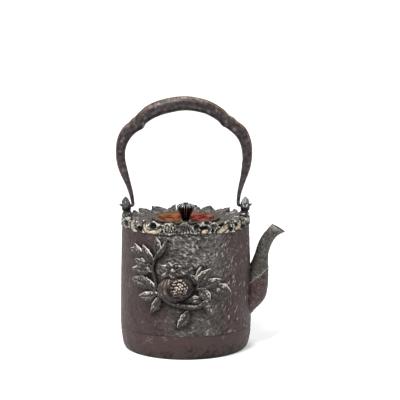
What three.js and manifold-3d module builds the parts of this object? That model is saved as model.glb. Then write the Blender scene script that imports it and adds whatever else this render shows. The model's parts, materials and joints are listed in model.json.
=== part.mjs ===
// A cast-iron water kettle (tetsubin): a straight-sided body with a separately cast bottom pan, a torn,
// leafy rim with pale inlay, a beaked spout, a hollow swinging handle hooked into two bud-shaped lugs,
// a hollow-topped bronze lid with a fluted knob, and a fruiting pomegranate branch in high relief.
// Millimetres. Z is up and the table is Z = 0. The spout points to +X and the relief faces -Y.
import * as THREE from 'three';
import { mergeVertices } from 'three/addons/utils/BufferGeometryUtils.js';
import Module from 'manifold-3d';

const wasm = await Module();
wasm.setup();

// Driving dimensions: body
const gap = 0.3; // between pieces that fit or lie against each other
const castWall = 3.2; // thickness of the cast walls
const bodyRadius = 62; // widest, at the joint with the bottom pan
const bodyTaper = 1.9; // how much the radius draws in up to the rim
const panHeight = 22; // the bottom pan's edge, where the joint line shows
const panCorner = 5; // how far the pan's rounded corner draws in to the flat foot
const panFloor = 4; // thickness of the floor
const panBowlCorner = 6; // how far the pan's inside draws in down to the floor
const spigotHeight = 4; // the pan's locating ring inside the wall
const spigotThickness = 2.2;
const shoulderHeight = 121.4; // top of the shoulder plate, which the lid rests on
const shoulderThickness = 3.3;
const shoulderStep = 6; // the plate drops to clear the rim's rebate over this width
const cavityCorner = 5; // slope inside, from the wall to the shoulder
const mouthRadius = 29.5;
const mouthEdge = 0.5; // chamfer round the mouth

// Driving dimensions: rim
const rimDepth = 8.4; // from the shoulder's top down to the rim casting's lower edge
const rimSeatDrop = 3.3; // the rim casting's rebate below the shoulder's top
const rimWidth = 15.1; // from the wall's face in to where the flat shoulder starts
const rimSkirt = 3.8; // thickness of the rim casting's outer skirt
const crestRise = 5; // mean height of the leafy crest above the shoulder
const crestWaver = 1.1; // how much the flaps' heights differ
const crestRound = 0.9;
const crestInset = 1.8; // the crest stands this far inside the wall's face
const notchDrop = 1.5; // bottom of the notches between flaps, below the shoulder's top
const pitRadius = 3.4; // hollows worked into the rim's face
const pitDepth = 1.7;
const pitWaver = 0.9;
const inlayRadius = 4.3;
const inlayThickness = 1.1;
const inlayProud = 0.5; // stands this far out of the rim's face
const inlayDrop = 2.8; // its middle, below the shoulder's top

// Driving dimensions: lid
const lidLap = 2.5; // how far the lid reaches past the mouth
const lidThickness = 1.9;
const lidEdgeHeight = 2.2;
const lidEdgeWidth = 2;
const lidEdgeRound = 0.6;
const lidHollow = 4.9; // how far the lid's centre lies below its edge
const flangeDepth = 9;
const flangeThickness = 1.6;
const flangeClearance = 0.5;
const rivetRadius = 1.8;
const rivetHeadOverhang = 1.3;
const rivetHeadHeight = 1.3;
const rivetInKnob = 6; // length of the rivet inside the knob
const washerRadius = 5.4;
const washerThickness = 0.9;
const washerBed = 0.05; // what the washer keeps off the curved lid
const knobFootWall = 1.4;
const knobRadius = 8.4;
const knobHeight = 18.2;
const knobLobes = 8;
const knobFlute = 0.09; // depth of the flutes as a share of the radius

// Driving dimensions: handle and lugs
const lugInset = 5.1; // from the wall's face in to the middle of each lug
const lugThickness = 7;
const lugWidth = 11.2;
const lugFootLength = 9;
const lugHeight = 17.6; // of the egg-shaped bud round the eye
const lugMargin = 1; // flat place left round each lug's foot
const pivotRise = 12.8; // above the shoulder
const pinRadius = 1.5;
const eyeClearance = 0.4;
const legEndThickness = 3.2;
const spurLength = 3.9; // what stands out of the lug
const spurRise = 1.7;
const handleRise = 96.8; // from the pivot to the top of the bow's centreline
const handleLean = 1.5; // the forged bow leans a little away from the spout
const handleDepthShare = 1.08; // section depth against its thickness
const handleSheet = 1.25; // the bow is hollow, of this wall
const tangLength = 8;

// Driving dimensions: spout
const spoutFoot = 27; // height of its lowest point
const spoutSheet = 2.3;
const spoutEyeRadius = 10.5; // half width of the opening through the kettle's wall
const spoutEyeLow = 16; // the opening's lower and upper end, above the spout's foot
const spoutEyeHigh = 42;

// Driving dimension: relief
const reliefDrop = 53.8; // from the shoulder down to the fruit's middle

// Facet counts
const bodySides = 40;
const wallRows = 4;
const rimStations = 66;
const tubeSides = 10;
const bowSteps = 24;
const spoutSides = 12;
const leafSteps = 5;
const stemSides = 5;

const degree = Math.PI / 180;
const rimFoot = shoulderHeight - rimDepth;
const shoulderSeat = shoulderHeight - rimSeatDrop;
const crestHeight = shoulderHeight + crestRise;
const notchHeight = shoulderHeight - notchDrop;
const lidRadius = mouthRadius + lidLap;
const lidTop = shoulderHeight + lidEdgeHeight;
const hollowTop = lidTop - lidHollow;
const lidUnderside = hollowTop - lidThickness;
const knobFoot = hollowTop + washerThickness;
const pivotHeight = shoulderHeight + pivotRise;
const reliefHeight = shoulderHeight - reliefDrop;
const eyeRadius = pinRadius + eyeClearance;

// Solids from three.js geometry

function toSolid(geometry) {
  const bare = geometry.clone();
  bare.deleteAttribute('normal');
  bare.deleteAttribute('uv');
  const merged = mergeVertices(bare, 1e-4);
  const faces = [];
  const index = merged.index.array;
  for (let i = 0; i < index.length; i += 3) {
    const [a, b, c] = [index[i], index[i + 1], index[i + 2]];
    if (a !== b && b !== c && c !== a) faces.push(a, b, c);
  }
  return new wasm.Manifold(new wasm.Mesh({
    numProp: 3,
    vertProperties: new Float32Array(merged.attributes.position.array),
    triVerts: new Uint32Array(faces),
  }));
}

function toGeometry(solid) {
  const mesh = solid.getMesh();
  return new THREE.BufferGeometry()
    .setAttribute('position', new THREE.BufferAttribute(new Float32Array(mesh.vertProperties), 3))
    .setIndex(new THREE.BufferAttribute(new Uint32Array(mesh.triVerts), 1));
}

const join = (solids) => solids.reduce((sum, next) => sum.add(next));

// A solid of revolution about Z from a closed outline of [radius, height] pairs.
function turned(outline, sides = bodySides) {
  const points = outline.map(([r, z]) => new THREE.Vector2(r, z));
  if (outline[0][0] > 0) points.push(points[0].clone());
  return toSolid(new THREE.LatheGeometry(points, sides).rotateX(Math.PI / 2));
}

// A solid through rings of points, with flat ends, or closed on itself.
function lofted(rings, closed = false) {
  const around = rings[0].length;
  const corners = rings.flat();
  const faces = [];
  const spans = closed ? rings.length : rings.length - 1;
  for (let i = 0; i < spans; i++) {
    for (let j = 0; j < around; j++) {
      const next = ((i + 1) % rings.length) * around;
      const side = (j + 1) % around;
      faces.push(i * around + j, i * around + side, next + side);
      faces.push(i * around + j, next + side, next + j);
    }
  }
  if (!closed) {
    for (const [ring, flip] of [[0, true], [rings.length - 1, false]]) {
      const middle = new THREE.Vector3();
      rings[ring].forEach((p) => middle.addScaledVector(p, 1 / around));
      const centre = corners.push(middle) - 1;
      for (let j = 0; j < around; j++) {
        const a = ring * around + j;
        const b = ring * around + ((j + 1) % around);
        faces.push(...(flip ? [b, a, centre] : [a, b, centre]));
      }
    }
  }
  let volume = 0;
  for (let i = 0; i < faces.length; i += 3) {
    const [a, b, c] = [corners[faces[i]], corners[faces[i + 1]], corners[faces[i + 2]]];
    volume += a.dot(new THREE.Vector3().crossVectors(b, c));
  }
  if (volume < 0) faces.reverse();
  const geometry = new THREE.BufferGeometry().setFromPoints(corners);
  geometry.setIndex(faces);
  return toSolid(geometry);
}

function boxSolid(low, high) {
  const size = high.map((v, i) => v - low[i]);
  const middle = high.map((v, i) => (v + low[i]) / 2);
  return toSolid(new THREE.BoxGeometry(...size).translate(...middle));
}

function ballSolid(centre, radii, around = 12, up = 8) {
  const ball = new THREE.SphereGeometry(1, around, up).rotateX(Math.PI / 2);
  return toSolid(ball.scale(...radii).translate(...centre));
}

// A round bar along X.
function barAlongX(x0, x1, z, radius, sides = 12) {
  const bar = new THREE.CylinderGeometry(radius, radius, Math.abs(x1 - x0), sides).rotateZ(Math.PI / 2);
  return toSolid(bar.translate((x0 + x1) / 2, 0, z));
}

// Body

// The outer face's radius at a height, on the pan's rounded corner and on the wall.
function faceRadius(z) {
  if (z < panHeight) {
    const share = (panHeight - z) / panHeight;
    return bodyRadius - panCorner * (1 - Math.sqrt(Math.max(0, 1 - share * share)));
  }
  const share = (z - panHeight) / (rimFoot - panHeight);
  return bodyRadius - bodyTaper * Math.pow(share, 1.6);
}

function heights(from, to, steps) {
  return Array.from({ length: steps + 1 }, (_, i) => from + ((to - from) * i) / steps);
}

// A point by its angle from the front, positive towards the spout, its radius and its height.
function around(angle, radius, z) {
  return new THREE.Vector3(radius * Math.sin(angle), -radius * Math.cos(angle), z);
}

const rimFaceRadius = faceRadius(rimFoot);
const rimLapRadius = rimFaceRadius - rimSkirt;
const rimInnerRadius = rimFaceRadius - rimWidth;
const lugSpread = rimFaceRadius - lugInset;
const cavityTop = shoulderSeat - shoulderThickness;
const cavityRadius = rimFaceRadius - castWall;

function makeBottomPan() {
  const corner = heights(0, 1, 5).map((t) => {
    const z = panHeight * (1 - Math.cos((t * Math.PI) / 2));
    return [faceRadius(z), z];
  });
  const spigotOuter = bodyRadius - castWall - gap;
  const spigotInner = spigotOuter - spigotThickness;
  const bowl = heights(0, 1, 4).slice(1).map((t) => {
    const drop = Math.sin((t * Math.PI) / 2);
    const drawnIn = panBowlCorner * (1 - Math.sqrt(Math.max(0, 1 - drop * drop)));
    return [spigotInner - drawnIn, panHeight - (panHeight - panFloor) * drop];
  });
  return turned([
    [0, 0], ...corner, [spigotOuter, panHeight], [spigotOuter, panHeight + spigotHeight],
    [spigotInner, panHeight + spigotHeight], [spigotInner, panHeight], ...bowl, [0, panFloor],
  ]);
}

function makeKettleWall(spoutEye) {
  const face = heights(panHeight, rimFoot, wallRows).map((z) => [faceRadius(z), z]);
  const inside = heights(cavityTop - cavityCorner, panHeight, 2).map((z) => [faceRadius(z) - castWall, z]);
  const wall = turned([
    ...face, [rimLapRadius, rimFoot], [rimLapRadius, shoulderSeat], [rimInnerRadius, shoulderSeat],
    [rimInnerRadius, shoulderHeight], [mouthRadius + mouthEdge, shoulderHeight],
    [mouthRadius, shoulderHeight - mouthEdge], [mouthRadius, shoulderHeight - shoulderThickness],
    [rimInnerRadius - shoulderStep, shoulderHeight - shoulderThickness], [rimInnerRadius, cavityTop],
    [cavityRadius - cavityCorner, cavityTop], ...inside,
  ]);
  return wall.subtract(spoutEye);
}

// Everything within the wall's outer face, let out by the gap that what lies against it keeps.
function makeEnvelope() {
  const face = heights(panHeight, rimFoot, wallRows).map((z) => [faceRadius(z) + gap, z]);
  return turned([
    [0, 0], [bodyRadius + gap, 0], ...face, [rimFaceRadius + gap, crestHeight], [0, crestHeight],
  ]);
}

// Rim casting

// Angles of the notches between flaps, in degrees from the front, positive towards the spout.
const rimNotches = [
  -171, -152, -131.5, -112, -97, -83, -66, -47, -31, -17, -4,
  11, 26, 42, 58, 74, 83, 97, 122, 135.3, 152.5, 165.4,
];

function flapAt(angleDegrees) {
  const count = rimNotches.length;
  const after = rimNotches.findIndex((a) => a > angleDegrees);
  const right = after < 0 ? 0 : after;
  const left = (right + count - 1) % count;
  const width = (rimNotches[right] - rimNotches[left] + 360) % 360;
  const along = ((angleDegrees - rimNotches[left] + 360) % 360) / width;
  const height = crestHeight + crestWaver * Math.sin(2.4 * left + 0.7);
  const lobe = Math.pow(Math.sin(Math.PI * Math.pow(along, 0.8 + 0.5 * (left % 2))), 0.5);
  return { height, lobe: Math.max(0, lobe) };
}

const pitAngles = [-66, -46, -24, 3, 45, 62];
const inlayAngles = [-76, -56, -36.5, -12, 20, 35.5, 54, 68];
const inlayFrom = 150; // where the crescent starts and ends, in degrees
const inlayTo = 395;
const inlayTaper = 14;
const inlayOpening = 0.5; // its inner circle's radius and rise, as shares of its outer radius
const inlayRiseShare = 0.22;

// A crescent standing on the rim's face, open at its top, grown all round for its pocket.
function crescent(angleDegrees, grow) {
  const outer = inlayRadius + grow;
  const inner = inlayRadius * inlayOpening - grow;
  const from = inlayFrom * degree - grow / outer;
  const to = inlayTo * degree + grow / outer;
  const taper = inlayTaper * degree;
  const shape = new THREE.Shape();
  shape.absarc(0, 0, outer, from, to, false);
  shape.absarc(0, inlayRadius * inlayRiseShare, inner, to - taper, from + taper, true);
  const plate = new THREE.ExtrudeGeometry(shape, {
    depth: inlayThickness, bevelEnabled: false, curveSegments: 5,
  });
  const turn = angleDegrees * degree;
  plate.rotateX(Math.PI / 2);
  plate.translate(0, -(rimFaceRadius + inlayProud - inlayThickness), shoulderHeight - inlayDrop);
  return toSolid(plate.rotateZ(turn));
}

function makeRimCrown() {
  const rings = Array.from({ length: rimStations }, (_, i) => {
    const degrees = -180 + (360 * i) / rimStations;
    const { height, lobe } = flapAt(degrees);
    const rise = (height - notchHeight) * lobe;
    const lap = rimLapRadius + gap;
    const top = notchHeight + rise;
    const outline = [
      [lap, rimFoot + gap], [rimFaceRadius, rimFoot + gap], [rimFaceRadius + 0.3 * lobe, shoulderSeat],
      [rimFaceRadius - crestInset * 0.4, top - crestRound], [rimFaceRadius - crestInset, top],
      [rimFaceRadius - crestInset * 2.4, top - 0.25 * rise],
      [(rimLapRadius + rimInnerRadius) / 2, Math.max(shoulderHeight, top - 0.62 * rise)],
      [rimInnerRadius + gap, shoulderHeight], [rimInnerRadius + gap, shoulderSeat], [lap, shoulderSeat],
    ];
    return outline.map(([r, z]) => around(degrees * degree, r, z));
  });
  let crown = lofted(rings, true);
  for (const side of [-1, 1]) {
    const [halfX, halfY] = [lugThickness / 2 + lugMargin, lugFootLength / 2 + lugMargin];
    const low = [side * lugSpread - halfX, -halfY, shoulderHeight];
    const high = [side * lugSpread + halfX, halfY, crestHeight + lugHeight];
    crown = crown.subtract(boxSolid(low, high));
  }
  for (const i of pitAngles.keys()) crown = crown.subtract(makePit(i));
  for (const a of inlayAngles) crown = crown.subtract(crescent(a, gap));
  return crown;
}

// The ball that hollows the rim's face at one of the pits.
function makePit(index) {
  const z = shoulderHeight + pitWaver * Math.cos(1.7 * index);
  const centre = around(pitAngles[index] * degree, rimFaceRadius + pitRadius - pitDepth, z);
  return ballSolid(centre.toArray(), [pitRadius, pitRadius, pitRadius], 8, 6);
}

function makeInlay(angleDegrees) {
  const reach = ((inlayRadius + pitRadius) / rimFaceRadius) / degree;
  const near = [...pitAngles.keys()].filter((i) => Math.abs(pitAngles[i] - angleDegrees) < reach);
  return near.reduce((plate, i) => plate.subtract(makePit(i)), crescent(angleDegrees, 0));
}

// Lugs and handle

function makeLug(side) {
  const x = side * lugSpread;
  const half = lugThickness / 2;
  const bud = ballSolid([x, 0, pivotHeight], [half, lugWidth / 2, lugHeight / 2]);
  const foot = (z, halfX, halfY) => [[-1, -1], [1, -1], [1, 1], [-1, 1]]
    .map(([u, v]) => new THREE.Vector3(x + u * halfX, v * halfY, z));
  const stem = lofted([
    foot(shoulderHeight, half, lugFootLength / 2),
    foot((shoulderHeight + pivotHeight) / 2 - 2, half * 0.86, lugFootLength * 0.4),
    foot(pivotHeight - eyeRadius - 1, half * 0.7, lugFootLength * 0.32),
  ]);
  const eye = barAlongX(x - lugThickness, x + lugThickness, pivotHeight, eyeRadius);
  return bud.add(stem).subtract(eye);
}

const legX = lugSpread - lugThickness / 2 - gap - legEndThickness / 2;

// The handle's centreline from a leg to the top: across as a share of the leg's distance from the
// axis, up as a share of the rise, and the section's thickness. The hollow bow starts at the station
// that is marked so.
const handleStations = [
  { across: 1.0, up: 0.03, thick: legEndThickness },
  { across: 1.025, up: 0.115, thick: 3.8 },
  { across: 1.068, up: 0.203, thick: 5.1 },
  { across: 1.122, up: 0.291, thick: 6.6, hollow: true },
  { across: 1.17, up: 0.379, thick: 8.0 },
  { across: 1.199, up: 0.466, thick: 8.7 },
  { across: 1.194, up: 0.554, thick: 9.3 },
  { across: 1.151, up: 0.642, thick: 10.5 },
  { across: 1.047, up: 0.729, thick: 11.5 },
  { across: 0.873, up: 0.799, thick: 10.9 },
  { across: 0.782, up: 0.845, thick: 11.3 },
  { across: 0.625, up: 0.909, thick: 12.5 },
  { across: 0.374, up: 0.967, thick: 13.0 },
];
const hollowFrom = handleStations.findIndex((s) => s.hollow); // where the solid leg ends
const topThickness = 13.2;

// The whole centreline, left to right, with the thickness carried in its y.
function handleCurve() {
  const place = (side, { across, up, thick }) => {
    const lean = handleLean * Math.sin(Math.min(1, up * 1.1) * Math.PI);
    return new THREE.Vector3(side * across * legX - lean, thick, pivotHeight + up * handleRise);
  };
  const left = handleStations.map((s) => place(-1, s));
  const right = handleStations.map((s) => place(1, s)).reverse();
  const top = new THREE.Vector3(0, topThickness, pivotHeight + handleRise);
  return new THREE.CatmullRomCurve3([...left, top, ...right], false, 'centripetal');
}

const bowLine = handleCurve();
const spansInLine = handleStations.length * 2;

// A ring of the handle's section at a share of the centreline, made smaller all round by inset.
function handleRing(share, inset = 0, radius = null) {
  const centre = bowLine.getPoint(share);
  const step = 1e-3;
  const ahead = bowLine.getPoint(Math.min(1, share + step));
  const behind = bowLine.getPoint(Math.max(0, share - step));
  const along = new THREE.Vector2(ahead.x - behind.x, ahead.z - behind.z).normalize();
  const half = radius ?? centre.y / 2 - inset;
  const depth = radius ?? (centre.y / 2) * handleDepthShare - inset;
  return Array.from({ length: tubeSides }, (_, i) => {
    const a = (i / tubeSides) * Math.PI * 2;
    const u = half * Math.cos(a);
    return new THREE.Vector3(centre.x - along.y * u, depth * Math.sin(a), centre.z + along.x * u);
  });
}

function makeHandleBow() {
  const from = hollowFrom / spansInLine;
  const shares = heights(from, 1 - from, bowSteps);
  const outer = lofted(shares.map((s) => handleRing(s)));
  const over = 0.003; // how far the hollow is cut past each end, as a share of the line
  const inside = heights(from - over, 1 - from + over, bowSteps);
  return outer.subtract(lofted(inside.map((s) => handleRing(s, handleSheet))));
}

// A round ring standing across X.
function uprightRing(x, z, radius) {
  return Array.from({ length: tubeSides }, (_, i) => {
    const a = (i / tubeSides) * Math.PI * 2;
    return new THREE.Vector3(x, radius * Math.cos(a), z + radius * Math.sin(a));
  });
}

// A level round ring, with its points in the order of the leg's rings above it.
function levelRing(side, x, z, radius) {
  return Array.from({ length: tubeSides }, (_, i) => {
    const a = (i / tubeSides) * Math.PI * 2;
    return new THREE.Vector3(x + side * radius * Math.cos(a), radius * Math.sin(a), z);
  });
}

// A solid leg: its tang inside the bow, its taper, its elbow, and the pin and spur through the lug.
function makeHandleLeg(side) {
  const lineLength = bowLine.getLength();
  const shareOf = (s) => (side < 0 ? s : 1 - s);
  const top = hollowFrom / spansInLine - gap / lineLength;
  const tangTop = top + tangLength / lineLength;
  const tangRadius = handleStations[hollowFrom].thick / 2 - handleSheet - gap;
  const elbowRadius = legEndThickness / 2;
  const x = side * legX;
  const leg = lofted([
    ...heights(tangTop, top, 2).map((s) => handleRing(shareOf(s), 0, tangRadius)),
    ...heights(top - 1e-4, 0.004, 8).map((s) => handleRing(shareOf(s))),
    levelRing(side, x, pivotHeight, elbowRadius),
    levelRing(side, x, pivotHeight - elbowRadius * 0.8, elbowRadius * 0.6),
  ]);
  const spurFoot = lugSpread + lugThickness / 2 + gap;
  const pin = lofted([
    uprightRing(x, pivotHeight, pinRadius * 0.96),
    uprightRing(side * spurFoot, pivotHeight, pinRadius),
    uprightRing(side * (spurFoot + spurLength * 0.5), pivotHeight + spurRise * 0.25, pinRadius * 0.85),
    uprightRing(side * (spurFoot + spurLength), pivotHeight + spurRise, pinRadius * 0.3),
  ]);
  return leg.add(pin);
}

// Spout

// Rings from the kettle's side to the mouth: the near and far edge in the plane of the spout, each as
// [beyond the body's radius, above the spout's foot], and the half width across it.
const spoutStations = [
  { near: [-9, 9], far: [-2, 0], half: 12.5 },
  { near: [-9, 18], far: [4.8, 7.9], half: 15.5 },
  { near: [-9, 28], far: [10.7, 13.8], half: 16.2 },
  { near: [-8, 37], far: [14.6, 20], half: 15.4 },
  { near: [-5, 44.5], far: [16.3, 29], half: 13.2 },
  { near: [-2, 50], far: [16.9, 40], half: 10.8 },
  { near: [0.6, 55], far: [16.8, 51.5], half: 8.9 },
  { near: [2.9, 61.3], far: [17, 60.2], half: 7.7 },
  { near: [4.9, 67.6], far: [18.5, 66.4], half: 7.1 },
  { near: [7.8, 74.8], far: [20.9, 72.1], half: 6.7 },
  { near: [12.6, 82.2], far: [25, 77.7], half: 6.6 },
  { near: [19.2, 89.6], far: [32.5, 81.6], half: 7.2 },
];

function spoutRing(near, far, half, inset, push = 0) {
  const a = new THREE.Vector3(bodyRadius + near[0], 0, spoutFoot + near[1]);
  const b = new THREE.Vector3(bodyRadius + far[0], 0, spoutFoot + far[1]);
  const across = b.clone().sub(a);
  const radius = across.length() / 2 - inset;
  across.normalize();
  const onward = new THREE.Vector3(-across.z, 0, across.x);
  const centre = a.add(b).multiplyScalar(0.5).addScaledVector(onward, push);
  return Array.from({ length: spoutSides }, (_, i) => {
    const t = (i / spoutSides) * Math.PI * 2;
    return centre.clone().addScaledVector(across, radius * Math.cos(t))
      .add(new THREE.Vector3(0, (half - inset) * Math.sin(t), 0));
  });
}

// A smooth run of rings through some of the stations.
function spoutRings(stations, inset, steps) {
  const nears = new THREE.CatmullRomCurve3(stations.map((s) => new THREE.Vector3(...s.near, s.half)));
  const fars = new THREE.CatmullRomCurve3(stations.map((s) => new THREE.Vector3(...s.far, s.half)));
  return heights(0, 1, steps).map((t) => {
    const n = nears.getPoint(t);
    const f = fars.getPoint(t);
    return spoutRing([n.x, n.y], [f.x, f.y], n.z, inset);
  });
}

// The level opening through the kettle's wall.
function makeSpoutEye() {
  const eye = (out) => spoutRing([out, spoutEyeHigh], [out, spoutEyeLow], spoutEyeRadius, 0);
  return lofted([eye(-castWall * 2.6), eye(castWall * 1.3)]);
}

function makeSpoutBore() {
  const last = spoutStations[spoutStations.length - 1];
  const bend = spoutRings(spoutStations.slice(2), spoutSheet, 11);
  const beyond = spoutRing(last.near, last.far, last.half, spoutSheet, 2);
  return lofted([...bend, beyond]);
}

function makeSpout(eye, envelope) {
  const outside = lofted(spoutRings(spoutStations, 0, 14));
  return outside.subtract(makeSpoutBore()).subtract(eye).subtract(envelope);
}

// Lid

// Height of the lid's hollow top at a radius.
function lidSurface(radius) {
  return hollowTop + lidHollow * Math.pow(radius / (lidRadius - lidEdgeWidth), 2.2);
}

function makeLidPlate() {
  const flat = mouthRadius - flangeClearance - flangeThickness - gap;
  const hole = rivetRadius + gap;
  const top = heights(lidRadius - lidEdgeWidth, hole, 5).map((r) => [r, lidSurface(r)]);
  const underside = (r) => Math.min(shoulderHeight - gap, lidSurface(r) - lidThickness);
  const under = heights(hole, flat, 4).map((r) => [r, underside(r)]);
  return turned([
    [lidRadius, shoulderHeight], [lidRadius, lidTop - lidEdgeRound], [lidRadius - lidEdgeRound, lidTop],
    ...top, ...under, [flat, shoulderHeight],
  ]);
}

function makeLidFlange() {
  const outer = mouthRadius - flangeClearance;
  const inner = outer - flangeThickness;
  return turned([
    [outer, shoulderHeight - flangeDepth], [outer, shoulderHeight], [inner, shoulderHeight],
    [inner, shoulderHeight - flangeDepth],
  ]);
}

// The knob's outline as shares of its widest radius and its height.
const knobOutline = [
  [0.41, 0.06], [0.62, 0.32], [0.92, 0.62], [1.0, 0.74], [0.93, 0.83], [0.7, 0.89],
  [0.25, 0.925], [0.28, 0.965], [0.16, 0.993],
];

function makeKnob() {
  const sides = knobLobes * 4;
  const lobe = (i) => Math.abs(Math.cos((i / sides) * Math.PI * knobLobes));
  const ringAt = (r, z, flute) => Array.from({ length: sides }, (_, i) => {
    const radius = r * (1 - flute * (1 - lobe(i)));
    return around((i / sides) * 2 * Math.PI, radius, z);
  });
  const rings = knobOutline.map(([r, h]) => {
    const flute = h > 0.9 ? 0 : knobFlute * (0.6 + h);
    return ringAt(r * knobRadius, knobFoot + h * knobHeight, flute);
  });
  const body = lofted([ringAt(rivetRadius + knobFootWall, knobFoot, knobFlute * 0.5), ...rings]);
  const socket = turned([
    [0, knobFoot - 1], [rivetRadius + gap, knobFoot - 1], [rivetRadius + gap, knobFoot + rivetInKnob + gap],
    [0, knobFoot + rivetInKnob + gap],
  ], 20);
  return body.subtract(socket);
}

function makeKnobWasher() {
  const petals = 12;
  const shape = new THREE.Shape();
  for (let i = 0; i <= petals * 4; i++) {
    const a = (i / (petals * 4)) * Math.PI * 2;
    const r = washerRadius * (1 - 0.07 * (1 - Math.abs(Math.cos((a * petals) / 2))));
    if (i === 0) shape.moveTo(r, 0);
    else shape.lineTo(r * Math.cos(a), r * Math.sin(a));
  }
  const hole = new THREE.Path().absarc(0, 0, rivetRadius + gap, 0, Math.PI * 2, true);
  shape.holes.push(hole);
  const bed = lidSurface(washerRadius) + washerBed;
  const plate = new THREE.ExtrudeGeometry(shape, {
    depth: knobFoot - bed, bevelEnabled: false, curveSegments: 8,
  });
  return toSolid(plate.translate(0, 0, bed));
}

function makeInnerWasher() {
  const z = lidUnderside;
  return turned([
    [washerRadius, z - washerThickness], [washerRadius, z], [rivetRadius + gap, z],
    [rivetRadius + gap, z - washerThickness],
  ], 24);
}

function makeKnobRivet() {
  const underWasher = lidUnderside - washerThickness - gap;
  const headRadius = rivetRadius + rivetHeadOverhang;
  return turned([
    [0, underWasher - rivetHeadHeight], [headRadius * 0.6, underWasher - rivetHeadHeight],
    [headRadius, underWasher - rivetHeadHeight * 0.4], [headRadius, underWasher],
    [rivetRadius, underWasher], [rivetRadius, knobFoot + rivetInKnob], [0, knobFoot + rivetInKnob],
  ], 20);
}

// Relief

// Places are [along, up]: along the wall's face from the front towards the spout, and up from the
// fruit's middle. A third number is the lift off the wall's face.
function onWall(along, up, lift) {
  const z = reliefHeight + up;
  return around(along / bodyRadius, faceRadius(z) + lift, z);
}

// A pointed leaf: lens-shaped rings from its base to its tip, standing off the wall by its lifts.
function leaf({ base, tip, width, bend = 0, lift = [0.9, 2.6, 2.2], thick = 1.5 }, grow = 0) {
  const [dx, dz] = [tip[0] - base[0], tip[1] - base[1]];
  const length = Math.hypot(dx, dz);
  const side = [-dz / length, dx / length];
  const rings = heights(0, 1, leafSteps).map((t) => {
    const swell = Math.pow(Math.sin(Math.PI * Math.pow(Math.min(0.985, Math.max(0.03, t)), 0.85)), 0.8);
    const half = (width / 2) * swell + 0.25 + grow;
    const off = bend * Math.sin(Math.PI * t);
    const up = lift[0] * (1 - t) * (1 - t) + 2 * lift[1] * t * (1 - t) + lift[2] * t * t;
    const body = thick * (0.35 + 0.65 * swell) / 2 + grow;
    const point = (across, high) => onWall(
      base[0] + dx * t + side[0] * (off + across), base[1] + dz * t + side[1] * (off + across), up + high,
    );
    return [
      point(-half, -body * 0.25), point(-half * 0.45, body), point(0, body * 0.55), point(half * 0.45, body),
      point(half, -body * 0.25), point(0, -body),
    ];
  });
  return lofted(rings);
}

// A tapering stem along points of [along, height, lift].
function stem(points, fromRadius, toRadius, grow = 0, steps = 4) {
  const line = new THREE.CatmullRomCurve3(points.map(([s, z, lift]) => new THREE.Vector3(s, z, lift)));
  const rings = heights(0, 1, steps).map((t) => {
    const p = line.getPoint(t);
    const along = line.getTangent(t);
    const flat = Math.hypot(along.x, along.y);
    const side = [-along.y / flat, along.x / flat];
    const radius = fromRadius + (toRadius - fromRadius) * t + grow;
    return Array.from({ length: stemSides }, (_, i) => {
      const a = (i / stemSides) * Math.PI * 2;
      const u = radius * Math.cos(a);
      return onWall(p.x + side[0] * u, p.y + side[1] * u, p.z + radius * Math.sin(a));
    });
  });
  return lofted(rings);
}

const fruit = { along: -9.2, up: 0, halfWide: 16, halfHigh: 11.9, halfDeep: 11, stand: 2.5, tilt: -16 };
const seeds = { along: -5.6, up: -0.2, halfWide: 5.8, halfHigh: 9.2, halfDeep: 5.2, stand: 9.6, tilt: 24 };

function onFruit({ along, up, halfWide, halfHigh, halfDeep, stand, tilt }, geometry, grow = 0) {
  const shaped = geometry.scale(halfWide + grow, halfDeep + grow, halfHigh + grow).rotateY(tilt * degree);
  const z = reliefHeight + up;
  shaped.translate(0, -(faceRadius(z) + stand), z);
  return toSolid(shaped.rotateZ(along / bodyRadius));
}

function makeFruit(envelope) {
  const ball = new THREE.SphereGeometry(1, 18, 12);
  const opening = onFruit(seeds, new THREE.SphereGeometry(1, 14, 8), gap);
  return onFruit(fruit, ball).subtract(opening).subtract(envelope);
}

// The seed mass is a ball whose face is worked into rows of seeds.
function makeSeeds(envelope) {
  const ball = new THREE.SphereGeometry(1, 18, 16);
  const spot = ball.attributes.position;
  for (let i = 0; i < spot.count; i++) {
    const p = new THREE.Vector3().fromBufferAttribute(spot, i);
    const rows = Math.abs(Math.cos(p.z * 8.2)) * Math.abs(Math.cos(p.x * 7.5 + Math.round(p.z * 2.6) * 1.57));
    p.multiplyScalar(0.9 + 0.1 * rows);
    spot.setXYZ(i, p.x, p.y, p.z);
  }
  return onFruit(seeds, mergeVertices(ball, 1e-3)).subtract(envelope);
}

const calyx = { along: -12.2, up: 16 };
const sepals = [
  { turn: 62, reach: 8.2, out: 8 }, { turn: 12, reach: 9, out: 7.5 }, { turn: 125, reach: 8.6, out: 8 },
  { turn: 196, reach: 7.6, out: 5.5 }, { turn: 330, reach: 7.8, out: 6 }, { turn: 262, reach: 4.6, out: 9.5 },
];

function makeCalyx(keepOut) {
  const cup = stem([[calyx.along + 0.6, calyx.up - 7, 5], [calyx.along, calyx.up, 6.6]], 4.4, 3.4, 0, 4);
  const points = sepals.map(({ turn, reach, out }) => {
    const [c, s] = [Math.cos(turn * degree), Math.sin(turn * degree)];
    return leaf({
      base: [calyx.along + c, calyx.up + s], tip: [calyx.along + c * reach, calyx.up + s * reach],
      width: 4.4, lift: [6.2, 7.6, out], thick: 1.9,
    });
  });
  const heart = onFruit({ ...calyx, halfWide: 1.6, halfHigh: 1.6, halfDeep: 2, stand: 7.6, tilt: 0 },
    new THREE.SphereGeometry(1, 8, 6));
  return join([cup, heart, ...points]).subtract(keepOut);
}

const branchLine = [
  [-20.5, -9.4, 1.4], [-12.5, -13.2, 2.4], [-3.5, -15.4, 3],
  [5.5, -16.7, 3.2], [13.5, -15, 3], [19, -10.4, 2.6],
];
const stubLine = [[16.2, -11.2, 2.6], [18.2, -16.6, 4], [20.6, -23, 5]];

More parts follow.
